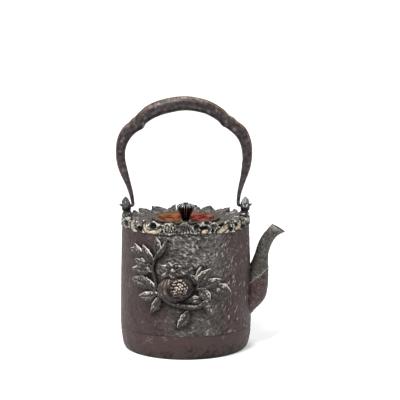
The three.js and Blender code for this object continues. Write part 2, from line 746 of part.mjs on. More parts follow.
function makeBranch(grow = 0) {
  return join([stem(branchLine, 1.9, 2.5, grow, 10), stem(stubLine, 3.1, 3.3, grow, 3)]);
}

// Stems and leaves in the order they are made: each keeps clear of those before it.
const sprays = {
  spray_lower_left: {
    stems: [
      { line: [[-22.5, -8.8, 2], [-26, -5.6, 2.2], [-32.5, -0.1, 2]], from: 1.9, to: 1 },
      { line: [[-24, -7.1, 1.8], [-28, -6, 1.8]], from: 1.2, to: 0.9 },
    ],
    leaves: [
      { base: [-31.8, -0.6], tip: [-53, 5.8], width: 9.6, bend: -1.6, lift: [1.2, 4, 4] },
      { base: [-27.8, -4], tip: [-38.4, 8.4], width: 4.8, bend: -0.6, lift: [1.6, 3.4, 2.6] },
      { base: [-27, -6.2], tip: [-44, -9], width: 7.4, bend: 1, lift: [1.2, 3.8, 4] },
      { base: [-23.4, -8], tip: [-32.2, -23.4], width: 6.8, bend: 1, lift: [1.6, 3, 2.4] },
    ],
  },
  spray_upper_left: {
    stems: [
      {
        line: [[-26.8, -1.6, 2], [-28.2, 7.8, 2.2], [-31, 16.9, 2], [-29.2, 24.4, 1.8], [-27, 31.9, 1.6]],
        from: 1.8,
        to: 1.1,
      },
      { line: [[-30.9, 16.4, 2], [-35.6, 22.4, 2], [-41, 28.2, 1.8]], from: 1.3, to: 0.9 },
      { line: [[-28.8, 10.9, 2], [-31.5, 13.7, 2], [-35.5, 14.6, 1.8]], from: 1.2, to: 0.8 },
      { line: [[-33.2, 19.4, 2], [-37, 20.4, 2]], from: 1, to: 0.7 },
    ],
    leaves: [
      { base: [-30.2, 21.9], tip: [-41.3, 38.2], width: 7, bend: 1 },
      { base: [-27.1, 30.4], tip: [-28, 46.6], width: 7.4, bend: -0.6, lift: [1.2, 2.4, 1.2] },
      { base: [-28, 26.9], tip: [-17, 44], width: 4.2, bend: -1.2, lift: [1.4, 3.4, 3] },
      { base: [-40.4, 27.6], tip: [-57.5, 33.2], width: 6.6, bend: -0.8 },
      { base: [-39.6, 26.8], tip: [-52, 38.4], width: 4.6, bend: 0.8 },
      { base: [-36, 20.2], tip: [-51, 23.4], width: 6.2, bend: -0.8, lift: [1.2, 3.4, 3.6] },
      { base: [-33.5, 14.6], tip: [-53, 15], width: 8, bend: -0.8, lift: [1.2, 4, 4.2] },
    ],
  },
  spray_right: {
    stems: [
      { line: [[9.2, -0.4, 2], [17.7, -0.4, 2.4], [24, 0.6, 2.4], [30, 0, 2]], from: 1.8, to: 1.1 },
      { line: [[10, 0, 2.2], [11.4, 4.9, 2]], from: 1.4, to: 1 },
    ],
    leaves: [
      { base: [10.8, 2.4], tip: [22.8, 18], width: 8, bend: 1.4, lift: [1.4, 4, 3.4] },
      { base: [10.4, 4.8], tip: [14.5, 20.4], width: 4.4, bend: 0.8, lift: [1, 1.8, 1] },
      { base: [13.4, 0.4], tip: [33, 7.4], width: 7, bend: 0.8, lift: [1.6, 3.8, 3.2] },
      { base: [26, 0.4], tip: [43, -7], width: 9, bend: 1, lift: [1.6, 3.8, 4.2] },
      { base: [12, -0.8], tip: [20.2, -11.2], width: 7.8, bend: 1, lift: [2, 4.6, 5.8] },
      { base: [21, -0.4], tip: [31, -10.8], width: 8.6, bend: 1.2, lift: [1.8, 4, 3.8] },
      { base: [11, 4], tip: [3.6, 13.4], width: 4, bend: -0.6, lift: [1.4, 3, 3] },
    ],
  },
  branch_leaf_inner: {
    stems: [],
    leaves: [
      { base: [13.6, -10.4], tip: [2.4, -9.8], width: 5.6, bend: -0.8, lift: [3.6, 4.6, 3.6] },
    ],
  },
  branch_leaf_hanging: {
    stems: [],
    leaves: [
      { base: [2.6, -20.4], tip: [-7.4, -35.8], width: 7.2, bend: 1, lift: [1.2, 3, 2] },
    ],
  },
};

function makeSpray({ stems, leaves }, grow = 0) {
  return join([
    ...stems.map(({ line, from, to }) => stem(line, from, to, grow)),
    ...leaves.map((one) => leaf(one, grow)),
  ]);
}

// Assembly

const finishes = {
  iron: new THREE.MeshStandardMaterial({ color: 0x554a48, roughness: 0.72, metalness: 0.55 }),
  relief: new THREE.MeshStandardMaterial({ color: 0x5d5450, roughness: 0.6, metalness: 0.6 }),
  handle: new THREE.MeshStandardMaterial({ color: 0x57494a, roughness: 0.6, metalness: 0.6 }),
  bronze: new THREE.MeshStandardMaterial({ color: 0x9c5f48, roughness: 0.5, metalness: 0.7 }),
  knob: new THREE.MeshStandardMaterial({ color: 0x2f2826, roughness: 0.3, metalness: 0.8 }),
  inlay: new THREE.MeshStandardMaterial({ color: 0xcfc3a4, roughness: 0.45, metalness: 0.5 }),
};

const kettle = new THREE.Group();

function place(name, solid, finish) {
  const mesh = new THREE.Mesh(toGeometry(solid), finishes[finish].clone());
  mesh.name = name;
  kettle.add(mesh);
}

const envelope = makeEnvelope();
const spoutEye = makeSpoutEye();
const grownBranch = makeBranch(gap);
const grownFruit = onFruit(fruit, new THREE.SphereGeometry(1, 18, 12), gap);
const keepOut = join([envelope, grownFruit]);
let taken = keepOut.add(grownBranch);

place('bottom_pan', makeBottomPan(), 'iron');
place('kettle_wall', makeKettleWall(spoutEye), 'iron');
place('rim_crown', makeRimCrown(), 'iron');
inlayAngles.forEach((angle, i) => place(`rim_inlay_${i + 1}`, makeInlay(angle), 'inlay'));
place('spout', makeSpout(spoutEye, envelope), 'iron');
place('lug_left', makeLug(-1), 'iron');
place('lug_right', makeLug(1), 'iron');
place('handle_bow', makeHandleBow(), 'handle');
place('handle_leg_left', makeHandleLeg(-1), 'handle');
place('handle_leg_right', makeHandleLeg(1), 'handle');
place('lid_plate', makeLidPlate(), 'bronze');
place('lid_flange', makeLidFlange(), 'bronze');
place('knob', makeKnob(), 'knob');
place('knob_washer', makeKnobWasher(), 'knob');
place('knob_inner_washer', makeInnerWasher(), 'knob');
place('knob_rivet', makeKnobRivet(), 'knob');
place('fruit', makeFruit(envelope), 'relief');
place('fruit_seeds', makeSeeds(envelope), 'relief');
place('fruit_calyx', makeCalyx(keepOut), 'relief');
place('relief_branch', makeBranch().subtract(keepOut), 'relief');
for (const [name, spray] of Object.entries(sprays)) {
  place(name, makeSpray(spray).subtract(taken), 'relief');
  taken = taken.add(makeSpray(spray, gap));
}

export default kettle;
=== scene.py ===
# %% [markdown]
# A cast-iron kettle, dressed in Blender.
# The kettle's solids come in as a fixed frame that carries the joints. This lesson makes each visible
# surface again over them, much finer: the rocky wall, the torn rim, the fruiting branch, the handle.
# Shapes are worked out in millimetres, as on the maker's drawing, and become metres in the meshes.

# %% The frame
import json
import math

import bmesh
import bpy
import numpy as np
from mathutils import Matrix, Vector, noise
from mathutils.kdtree import KDTree


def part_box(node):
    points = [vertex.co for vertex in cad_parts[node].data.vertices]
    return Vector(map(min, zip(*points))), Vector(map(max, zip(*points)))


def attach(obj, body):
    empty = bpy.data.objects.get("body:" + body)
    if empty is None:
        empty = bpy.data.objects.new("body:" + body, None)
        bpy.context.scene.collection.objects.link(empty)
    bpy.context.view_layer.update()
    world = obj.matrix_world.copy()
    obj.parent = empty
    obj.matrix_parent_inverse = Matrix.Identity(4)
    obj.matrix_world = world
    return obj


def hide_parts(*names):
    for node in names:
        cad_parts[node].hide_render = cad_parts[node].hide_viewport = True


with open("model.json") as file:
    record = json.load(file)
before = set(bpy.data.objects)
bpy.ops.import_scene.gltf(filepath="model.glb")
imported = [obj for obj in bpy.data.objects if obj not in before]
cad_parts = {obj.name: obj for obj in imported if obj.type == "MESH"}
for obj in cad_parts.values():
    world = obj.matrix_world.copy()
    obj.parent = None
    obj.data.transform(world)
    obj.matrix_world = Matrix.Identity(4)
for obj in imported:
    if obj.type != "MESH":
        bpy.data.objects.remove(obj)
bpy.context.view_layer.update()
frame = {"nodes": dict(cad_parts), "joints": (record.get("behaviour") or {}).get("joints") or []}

# %% [markdown]
# Every size that another piece depends on is read from the frame, so that a change there moves the
# looks too. What only the looks have, such as the depth of the casting's lumps, is named where used.

# %% Sizes read from the frame
MM = 0.001


def box_mm(node):
    low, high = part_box(node)
    return np.array(low) / MM, np.array(high) / MM


gap = 0.3
cast_wall = 3.2
wall_low, wall_high = box_mm("kettle_wall")
body_radius = wall_high[0]
seam = wall_low[2]
shoulder = wall_high[2]
rim_foot = box_mm("rim_crown")[0][2] - gap
lid_radius, _, lid_top = box_mm("lid_plate")[1]
flange_low, flange_high = box_mm("lid_flange")
pivot = frame["joints"][0]["pos_m"][2] / MM
handle_top = box_mm("handle_bow")[1][2]
lug_low, lug_high = box_mm("lug_right")
body_taper = 1.9
pan_corner = 5.0
spout_foot = 27.0
plate_sheet = 3.3
shoulder_seat = shoulder - plate_sheet
rim_inner = 45.0
rim_lap = 56.3
print("body radius", round(body_radius, 2), "shoulder", round(shoulder, 2), "pivot", round(pivot, 2))

# %% [markdown]
# Most pieces are skins: rows of points, each row once round the piece. A closed skin joins its last row
# to its first, as a ring casting does. An open one gets a fan of faces at each end. Numbers kept with
# the points, such as the stored depth that sets the iron's tone and in places carries painted light
# and shade, go along for the materials to read.

# %% Skins through rows of points
def polar(angle, radius, z):
    """A point by its angle from the front, positive towards the spout."""
    angle, radius, z = np.broadcast_arrays(angle, radius, z)
    return np.stack([radius * np.sin(angle), -radius * np.cos(angle), z], axis=-1)


def outward(mesh):
    shape = bmesh.new()
    shape.from_mesh(mesh)
    bmesh.ops.recalc_face_normals(shape, faces=shape.faces)
    shape.to_mesh(mesh)
    shape.free()
    mesh.shade_smooth()


def in_scene(name, data):
    item = bpy.data.objects.new(name, data)
    bpy.context.scene.collection.objects.link(item)
    return item


def keep(mesh, label, numbers, kind="FLOAT", field="value"):
    """Stores a number or a vector for each point of a mesh."""
    layer = mesh.attributes.new(label, kind, "POINT")
    layer.data.foreach_set(field, np.asarray(numbers, np.float32).ravel())


def mesh_piece(name, points, faces, values=None):
    mesh = bpy.data.meshes.new(name)
    mesh.from_pydata((np.asarray(points) * MM).tolist(), [], faces)
    for label, numbers in (values or {}).items():
        keep(mesh, label, numbers)
    outward(mesh)
    return in_scene(name, mesh)


def skin_faces(count, around, start=0, closed=False):
    index = np.arange(count * around).reshape(count, around) + start
    first = index if closed else index[:-1]
    second = np.roll(index, -1, axis=0) if closed else index[1:]
    corners = [first, np.roll(first, -1, axis=1), np.roll(second, -1, axis=1), second]
    return np.stack(corners, axis=-1).reshape(-1, 4).tolist()


def skin_parts(rows, values=None, closed=False, start=0):
    """Points, faces and values of one skin, for a mesh that may hold several."""
    rows = np.asarray(rows, float)
    count, around = rows.shape[:2]
    points = list(rows.reshape(-1, 3))
    faces = skin_faces(count, around, start, closed)
    kept = {label: list(np.asarray(numbers, float).ravel()) for label, numbers in (values or {}).items()}
    if not closed:
        for end in (0, count - 1):
            ring = start + end * around + np.arange(around)
            centre = start + len(points)
            points.append(rows[end].mean(axis=0))
            for label in kept:
                kept[label].append(float(np.mean(np.asarray(values[label])[end])))
            faces += [[int(a), int(b), centre] for a, b in zip(ring, np.roll(ring, -1))]
    return points, faces, kept


def skin(name, rows, values=None, closed=False):
    points, faces, kept = skin_parts(rows, values, closed)
    return mesh_piece(name, points, faces, kept)


def skins(name, many):
    """One piece of several closed skins, given as (rows, values) pairs."""
    points, faces, kept = [], [], {}
    for rows, values in many:
        more_points, more_faces, more = skin_parts(rows, values, start=len(points))
        points += more_points
        faces += more_faces
        for label, numbers in more.items():
            kept.setdefault(label, []).extend(numbers)
    return mesh_piece(name, points, faces, kept)


def through(points, count):
    """Places on a smooth curve through the points, in equal steps of the curve's own parameter."""
    points = np.asarray(points, float)
    last = len(points) - 1
    at = np.linspace(0, last, count)
    step = np.minimum(at.astype(int), last - 1)
    t = (at - step)[:, None]

    def pick(shift):
        return points[np.clip(step + shift, 0, last)]

    p0, p1, p2, p3 = pick(-1), pick(0), pick(1), pick(2)
    bend = (2 * p0 - 5 * p1 + 4 * p2 - p3) * t ** 2 + (3 * p1 - p0 - 3 * p2 + p3) * t ** 3
    return 0.5 * (2 * p1 + (p2 - p0) * t + bend)


def straight(points, count):
    """Places in equal steps along a run of straight lines."""
    points = np.asarray(points, float)
    far = np.concatenate([[0], np.cumsum(np.linalg.norm(np.diff(points, axis=0), axis=1))])
    at = np.linspace(0, far[-1], count)
    return np.stack([np.interp(at, far, points[:, k]) for k in range(points.shape[1])], axis=-1)


print("skins ready")

# %% [markdown]
# Cast iron is never smooth. Lumps are fractal noise at a stated size, creases are its sharp folds, and
# a cap or a step keeps an effect to its own place. All noise has a fixed seed, so each run is the same.

# %% Lumps, creases and steps
def lumps(points, size, octaves=3, seed=0):
    """Smooth noise of about -1 to 1, with lumps of about that size in millimetres."""
    shift = Vector((17.3, 5.9, 11.1)) * seed
    flat = np.asarray(points, float).reshape(-1, 3) / size
    found = [noise.fractal(Vector(p) + shift, 1.0, 2.0, octaves) for p in flat]
    return np.array(found).reshape(np.shape(points)[:-1])


def creases(points, size, octaves=2, seed=0):
    """1 along sharp crests and falling to 0 or less between them."""
    return 1 - 2.2 * np.abs(lumps(points, size, octaves, seed))


def step_up(value, low, high):
    t = np.clip((value - low) / (high - low), 0, 1)
    return t * t * (3 - 2 * t)


def bell(value, width):
    return np.exp(-((value / width) ** 2))


print("noise ready")

# %% [markdown]
# Shader sums are easier to read as sums. A Wire is a socket's output that can stand in Python
# arithmetic, and each operation adds the Math node for it. A Finish holds one material's tree.

# %% A finish and its wires
class Wire:
    def __init__(self, tree, socket):
        self.tree = tree
        self.socket = socket

    def combine(self, operation, *terms):
        return self.tree.add("ShaderNodeMath", {"operation": operation}, dict(enumerate(terms)))

    def __add__(self, other):
        return self.combine("ADD", self, other)

    def __sub__(self, other):
        return self.combine("SUBTRACT", self, other)

    def __rsub__(self, other):
        return self.combine("SUBTRACT", other, self)

    def __mul__(self, other):
        return self.combine("MULTIPLY", self, other)

    __radd__ = __add__
    __rmul__ = __mul__


class Tree:
    def __init__(self, nodes, links):
        self.nodes = nodes
        self.links = links

    def add(self, kind, settings=None, feeds=None, output=0):
        """One node: its settings first, then the values or wires of its sockets."""
        node = self.nodes.new(kind)
        for label, value in (settings or {}).items():
            if label == "stops":
                self.set_stops(node.color_ramp, value)
            else:
                setattr(node, label, value)
        for label, value in (feeds or {}).items():
            if isinstance(value, Wire):
                self.links.new(value.socket, node.inputs[label])
            else:
                node.inputs[label].default_value = value
        return Wire(self, node.outputs[output])

    def set_stops(self, ramp, stops):
        while len(ramp.elements) < len(stops):
            ramp.elements.new(0.5)
        for element, (position, colour) in zip(ramp.elements, stops):
            element.position = position
            element.color = colour


class Finish(Tree):
    def __init__(self, name, **constants):
        self.material = bpy.data.materials.new(name)
        self.material.use_nodes = True
        tree = self.material.node_tree
        super().__init__(tree.nodes, tree.links)
        self.shader = self.nodes["Principled BSDF"]
        for label, value in constants.items():
            self.shader.inputs[label.replace("_", " ")].default_value = value

    def place(self):
        return self.add("ShaderNodeTexCoord", output="Object")

    def across(self):
        """How far towards the spout a place lies, in metres."""
        return self.add("ShaderNodeSeparateXYZ", None, {0: self.place()}, "X")

    def grain(self, size, detail=3.0, stretch=None, lean=0.0):
        """Noise with grains of about that size in millimetres, drawn out along x at a lean in degrees."""
        spot = self.place()
        if lean:
            turn = {"Vector": spot, "Rotation": (0.0, math.radians(lean), 0.0)}
            spot = self.add("ShaderNodeMapping", None, turn)
        if stretch:
            spot = self.add("ShaderNodeMapping", None, {"Vector": spot, "Scale": stretch})
        feeds = {"Vector": spot, "Scale": 1 / (size * MM), "Detail": detail, "Roughness": 0.6}
        return self.add("ShaderNodeTexNoise", None, feeds)

    def stored(self, label):
        return self.add("ShaderNodeAttribute", {"attribute_name": label}, None, "Fac")

    def ramp(self, value, stops):
        return self.add("ShaderNodeValToRGB", {"stops": stops}, {"Fac": value})

    def between(self, value, low, high):
        feeds = {"Value": value, "From Min": low, "From Max": high}
        return self.add("ShaderNodeMapRange", {"interpolation_type": "SMOOTHSTEP"}, feeds)

    def mix(self, mask, first, second):
        return self.add("ShaderNodeMix", {"data_type": "RGBA"}, {0: mask, 6: first, 7: second}, 2)

    def wear(self, label, wire):
        self.links.new(wire.socket, self.shader.inputs[label])

    def bump(self, height, distance):
        """Shading relief, with its height in millimetres."""
        feeds = {"Height": height, "Distance": distance * MM, "Strength": 1.0}
        self.wear("Normal", self.add("ShaderNodeBump", None, feeds))


def paint(red, green, blue):
    """A colour as it looks on a screen, 0 to 255, as the light that the shader wants."""
    linear = []
    for share in (red / 255, green / 255, blue / 255):
        linear.append(share / 12.92 if share <= 10 / 255 else ((share + 0.055) / 1.055) ** 2.4)
    return (*linear, 1.0)


def tones(*colours, at=(0.02, 0.34, 0.65, 1.0)):
    """Stops of a ramp from the deepest hollow to the highest edge."""
    return [(position, paint(*colour)) for position, colour in zip(at, colours)]


print("wires and finishes ready")

# %% [markdown]
# The iron is one metal in several states. In the casting's hollows the old lacquer is nearly black,
# on open faces it is a purple brown, and where hands and cloths reach it is rubbed to a warm grey.
# The depth that each mesh stores decides which shows, and fine grain breaks it up. In places the
# stored depth also carries painted light and shade, said where it is set.

# %% Iron finishes
iron_sheen = 0.3


def iron(name, hollow, open_face, rubbed, grain_size=1.1, metallic=0.35, smooth=0.5, bump=0.35):
    finish = Finish(name, Metallic=metallic, Specular_IOR_Level=iron_sheen)
    depth = finish.stored("depth")
    fine = finish.grain(grain_size, 4)
    patch = finish.grain(9, 2)
    level = depth + (fine - 0.5) * 0.45 + (patch - 0.5) * 0.25
    stops = tones(hollow, open_face, open_face, rubbed, at=(0.04, 0.36, 0.64, 0.95))
    finish.wear("Base Color", finish.ramp(level, stops))
    finish.wear("Roughness", finish.between(fine, 0.2, 0.8) * 0.25 + smooth)
    finish.bump(fine + finish.grain(grain_size * 0.45, 2) * 0.5, bump)
    return finish


brown_tones = tones((16, 11, 11), (50, 37, 37), (70, 54, 53), (156, 142, 138))
grey_tones = tones((14, 13, 12), (57, 54, 51), (84, 80, 77), (158, 154, 148))


def cast_iron(name, edge_tones, edge_label):
    """The wall's purple brown, grey where the rock is high, and other tones where the label says."""
    finish = Finish(name, Metallic=0.35, Specular_IOR_Level=iron_sheen)
    fine = finish.grain(1.2, 4)
    rocky = finish.stored("rocky")
    steep = finish.between(finish.across(), 0.015, 0.04)
    level_ridge = finish.grain(1.7, 3, (0.4, 1, 1), -18)
    steep_ridge = finish.grain(1.5, 3, (0.4, 1, 1), 55)
    ridge = level_ridge + (steep_ridge - level_ridge) * steep
    ridges = (ridge - 0.5) * (rocky * 1.5 + 0.35)
    level = finish.stored("depth") + (fine - 0.5) * 0.35 + ridges
    tint = finish.between(rocky + (finish.grain(7, 3) - 0.5) * 0.7, 0.2, 0.8)
    body = finish.mix(tint, finish.ramp(level, brown_tones), finish.ramp(level, grey_tones))
    edge = finish.ramp(finish.stored("depth") + (fine - 0.5) * 0.6, edge_tones)
    finish.wear("Base Color", finish.mix(finish.stored(edge_label), body, edge))
    finish.wear("Roughness", finish.between(fine, 0.2, 0.8) * 0.22 + 0.42)
    finish.bump(fine * 0.5 + ridges, 0.9)
    return finish


shoulder_tones = tones((8, 7, 6), (38, 34, 30), (58, 53, 47), (112, 104, 94))
torn_tones = tones((6, 5, 5), (42, 39, 36), (84, 80, 76), (190, 187, 181))
wall_finish = cast_iron("wall iron", shoulder_tones, "plate")
rim_finish = cast_iron("rim iron", torn_tones, "band")
pan_finish = iron("pan iron", (22, 16, 15), (68, 54, 52), (132, 117, 113), 1.3, bump=0.4)
relief_finish = iron("relief iron", (8, 7, 7), (58, 53, 50), (184, 178, 170), 0.9, 0.45, 0.34)
fruit_finish = iron("fruit iron", (9, 7, 6), (60, 51, 48), (150, 134, 126), 0.8, 0.4, 0.34)
seed_finish = iron("seed iron", (12, 8, 7), (76, 63, 58), (196, 182, 172), 0.8, 0.45, 0.3)
lug_finish = iron("lug iron", (6, 5, 5), (62, 60, 58), (180, 180, 180), 0.9, 0.5, 0.36)
print("iron finishes ready")

# %% [markdown]
# Five finishes need more. The inlay is a pale metal leaf, rubbed through to dark in spots. The lid is
# bronze with clouds of red and orange, dark between them, and a grey lip. The knob is nearly black and
# polished, and bright lines are painted along its ribs as its reflection of the room. The handle is
# satin, with gold brown along its outer edge, and the spout changes colour at a ragged seam.

# %% Inlay, lid, knob, handle and spout finishes
def inlay_pale():
    finish = Finish("pale inlay", Metallic=0.3, Specular_IOR_Level=iron_sheen)
    spots = finish.between(finish.grain(1.5, 4), 0.34, 0.46)
    tint = finish.grain(2.6, 2)
    leaf = finish.ramp(tint, tones((128, 112, 88), (176, 162, 134), (206, 198, 180), at=(0.35, 0.5, 0.7)))
    worn = finish.mix(spots, paint(52, 42, 34), leaf)
    raised = finish.between(finish.stored("depth"), 0.1, 0.55)
    finish.wear("Base Color", finish.mix(raised, paint(30, 24, 20), worn))
    finish.wear("Roughness", 0.6 - spots * 0.15)
    finish.bump(finish.grain(0.9, 3), 0.35)
    return finish


def lid_bronze():
    """Clouds of red on the spout's side and of orange on the other, dark between, and a grey lip."""
    finish = Finish("lid bronze", Metallic=0.2, Specular_IOR_Level=0.0)
    without_height = {0: finish.place(), 1: (1, 1, 0)}
    flat_spot = finish.add("ShaderNodeVectorMath", {"operation": "MULTIPLY"}, without_height)
    radius = finish.add("ShaderNodeVectorMath", {"operation": "LENGTH"}, {0: flat_spot}, "Value")
    drift = finish.grain(13, 2)
    ring = finish.add("ShaderNodeTexNoise", {"noise_dimensions": "1D"},
                      {"W": radius * (1 / (5 * MM)) + drift * 2.6, "Scale": 1.0, "Detail": 2.0})
    cloud = finish.grain(9, 3, (0.7, 1, 1)) * 0.7 + ring * 0.3
    spread = (0.38, 0.46, 0.54, 0.66)
    orange = finish.ramp(cloud, tones((20, 12, 8), (70, 40, 20), (112, 68, 38), (140, 82, 70), at=spread))
    red = finish.ramp(cloud, tones((26, 16, 12), (68, 28, 23), (122, 50, 43), (114, 82, 70), at=spread))
    to_spout = finish.between(finish.across() + (drift - 0.5) * 0.02, -0.012, 0.006)
    bronze = finish.mix(to_spout, orange, red)
    lip = finish.between(radius + (drift - 0.5) * 0.006, (lid_radius - 6.0) * MM, (lid_radius - 3.0) * MM)
    grey = finish.ramp(finish.grain(2.2, 3), tones((30, 26, 23), (104, 94, 84), at=(0.35, 0.68)))
    finish.wear("Base Color", finish.mix(lip, bronze, grey))
    finish.wear("Roughness", finish.grain(1.4, 3) * 0.3 + 0.36)
    finish.bump(finish.grain(1.1, 3), 0.12)
    return finish


def knob_black():
    finish = Finish("knob bronze", Metallic=0.6, Specular_IOR_Level=0.4,
                    Coat_Weight=0.35, Coat_Roughness=0.1)
    # The highest stored depths, on the ribs, the lobe tops and the finial, are painted pale as highlights.
    knob_highlight = finish.between(finish.stored("depth") + (finish.grain(1.5, 3) - 0.5) * 0.25, 0.5, 0.95)
    finish.wear("Base Color", finish.mix(knob_highlight, paint(12, 9, 8), paint(150, 145, 140)))
    finish.wear("Roughness", finish.grain(1.8, 3) * 0.2 + 0.14)
    return finish


def handle_iron():
    """Satin dark iron, rubbed to a brownish gold along the outer edge of the bow."""
    finish = Finish("handle iron", Metallic=0.45, Specular_IOR_Level=iron_sheen)
    fine = finish.grain(0.8, 3)
    streak = finish.grain(3, 3, (1, 1, 0.35))
    level = finish.stored("depth") + (fine - 0.5) * 0.35 + (streak - 0.5) * 0.35
    stops = tones((10, 7, 7), (42, 34, 34), (62, 55, 56), (112, 110, 112))
    edge = finish.between(finish.stored("edge") + (streak - 0.5) * 1.2, 0.6, 1.1)
    finish.wear("Base Color", finish.mix(edge * 0.7, finish.ramp(level, stops), paint(128, 92, 58)))
    finish.wear("Roughness", finish.between(fine, 0.2, 0.8) * 0.14 + 0.34)
    finish.bump(fine, 0.12)
    return finish


def spout_iron():
    """Brown at the root, grey green above the ragged seam, and light along the seam itself."""
    finish = Finish("spout iron", Metallic=0.4, Specular_IOR_Level=iron_sheen)
    fine = finish.grain(1.2, 4)
    level = finish.stored("depth") + (fine - 0.5) * 1.1 - 0.05
    green = tones((10, 9, 8), (47, 44, 41), (74, 71, 67), (150, 148, 142))
    body = finish.mix(finish.stored("upper"), finish.ramp(level, brown_tones), finish.ramp(level, green))
    seam_mask = finish.between(finish.stored("seam") + (fine - 0.5) * 0.9, 0.4, 0.9)
    finish.wear("Base Color", finish.mix(seam_mask, body, paint(122, 119, 112)))
    finish.wear("Roughness", finish.between(fine, 0.2, 0.8) * 0.22 + 0.42)
    finish.bump(fine, 0.35)
    return finish


inlay_finish = inlay_pale()
lid_finish = lid_bronze()
knob_finish = knob_black()
handle_finish = handle_iron()
spout_finish = spout_iron()
print("other finishes ready")

# %% [markdown]
# A dressed piece gets its finish, rides on the body that carries it on the real kettle, and hides the
# frame solids it stands for.

# %% Dressing a piece
def store(piece, label, numbers):
    layer = piece.data.attributes.get(label) or piece.data.attributes.new(label, "FLOAT", "POINT")
    layer.data.foreach_set("value", np.asarray(numbers, np.float32))


def stored(piece, label):
    numbers = np.empty(len(piece.data.vertices), np.float32)
    piece.data.attributes[label].data.foreach_get("value", numbers)
    return numbers


def paint_top_light(piece, amount):
    """Raises the stored depth where the surface looks up: painted light falling from above on the upper
    faces.
    """
    normals = np.empty(len(piece.data.vertices) * 3)
    piece.data.vertices.foreach_get("normal", normals)
    store(piece, "depth", stored(piece, "depth") + amount * normals.reshape(-1, 3)[:, 2])
    return piece


def dress(piece, finish, body, slot, *nodes):
    piece.data.materials.clear()
    piece.data.materials.append(finish.material)
    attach(piece, body)
    if nodes:
        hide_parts(*nodes)
    print(piece.name, len(piece.data.polygons), "faces")
    return piece


def cut(piece, tool):
    """Takes the tool's shape out of the piece and removes the tool."""
    modifier = piece.modifiers.new("Cut", "BOOLEAN")
    modifier.operation = "DIFFERENCE"
    modifier.solver = "MANIFOLD"
    modifier.object = tool
    depsgraph = bpy.context.evaluated_depsgraph_get()
    mesh = bpy.data.meshes.new_from_object(piece.evaluated_get(depsgraph))
    piece.modifiers.remove(modifier)
    piece.data = mesh
    bpy.data.objects.remove(tool)
    print(piece.name, "cut to", len(mesh.polygons), "faces")


# %% [markdown]
# The wall's face was worked in the mould: rocky over the middle of the front, calmer at the sides, with
# short slanting strokes of the modelling tool on the right. All of it goes inwards from the true size.

# %% The casting's surface
along_front = 62.0
mean_depth = 0.08
back_depth = 0.34


def rocky_share(angle, z):
    """1 over the rocky front and in a band behind, less low down, and 0 on the calm left side."""
    front = bell(angle - math.radians(7), math.radians(38)) * (0.68 + 0.32 * step_up(z, 50, 66))
    behind = 0.7 * bell(np.abs(angle) - math.pi, math.radians(60)) * step_up(z, 40, 60)
    return np.clip(front + behind, 0, 1)


def drawn_out(angle, z, lean, stretch, size, octaves, seed):
    """Noise drawn out along one direction on the wall, given by its lean from level in degrees."""
    x, turn = angle * along_front, math.radians(lean)
    u = (x * math.cos(turn) + z * math.sin(turn)) / stretch
    w = z * math.cos(turn) - x * math.sin(turn)
    return lumps(np.stack([u, w, 0 * u], axis=-1), size, octaves, seed)


def cast_depth(angle, z):
    """How far in from the true face the casting lies, how rocky it is, and its tone for the iron."""
    wrapped = polar(angle, along_front, z)
    rocky = rocky_share(angle, z)
    to_right = step_up(angle, 0.2, 0.6)
    behind = step_up(np.abs(angle), 1.6, 2.2)
    level_rock = drawn_out(angle, z, -15, 2.4, 2.7, 3, 2)
    steep_rock = drawn_out(angle, z, 55, 2.4, 2.5, 3, 3)
    rock = (level_rock * (1 - to_right) + steep_rock * to_right) * (1 - behind)
    rock = rock + lumps(wrapped, 4.5, 3, 2) * behind
    rock = 0.7 - 2.2 * np.abs(rock)
    slow = lumps(wrapped, 13, 2, 1)
    chips = lumps(wrapped, 1.7, 2, 3)
    strokes_and_glints = np.clip(drawn_out(angle, z, 55, 3.0, 1.25, 1, 4) - 0.34, 0, 1)
    strokes_and_glints = strokes_and_glints * (0.3 + 0.7 * to_right) * (1 - behind)
    streaks = drawn_out(angle, z, 88, 4.0, 1.4, 2, 5) * step_up(-angle, 0.5, 0.9) * (1 - behind)
    relief = 0.14 * slow + (0.06 + 0.46 * rocky) * rock + (0.1 + 0.16 * rocky) * chips
    relief = relief + 1.3 * strokes_and_glints + 0.2 * streaks
    mean = mean_depth + (back_depth - mean_depth) * step_up(np.abs(angle), 2.2, 2.7)
    depth = np.clip(mean - relief, mean - back_depth, mean + 1.2)
    # The raised tool strokes are also painted bright, as painted highlights on them.
    tone = 0.46 + 0.5 * (mean - depth) + 0.34 * relief + 0.7 * strokes_and_glints
    return depth, rocky, tone


def face_radius(z):
    z = np.asarray(z, float)
    below = np.clip((seam - z) / seam, 0, 1)
    above = np.clip((z - seam) / (rim_foot - seam), 0, None)
    return body_radius - pan_corner * (1 - np.sqrt(1 - below ** 2)) - body_taper * above ** 1.6


def fine_in_front(front_count, back_count):
    """Angles once round, closer together over the 200 degrees that face the front."""
    edge = math.radians(100)
    front = np.linspace(-edge, edge, front_count, endpoint=False)
    back = np.linspace(edge, 2 * math.pi - edge, back_count, endpoint=False)
    return np.concatenate([front, (back + math.pi) % (2 * math.pi) - math.pi])


front_rock = rocky_share(np.array([0.0]), np.array([90.0]))[0]
print("rock in the middle of the front", round(float(front_rock), 2))

# %% The kettle's wall
mouth = flange_high[0] + 0.5


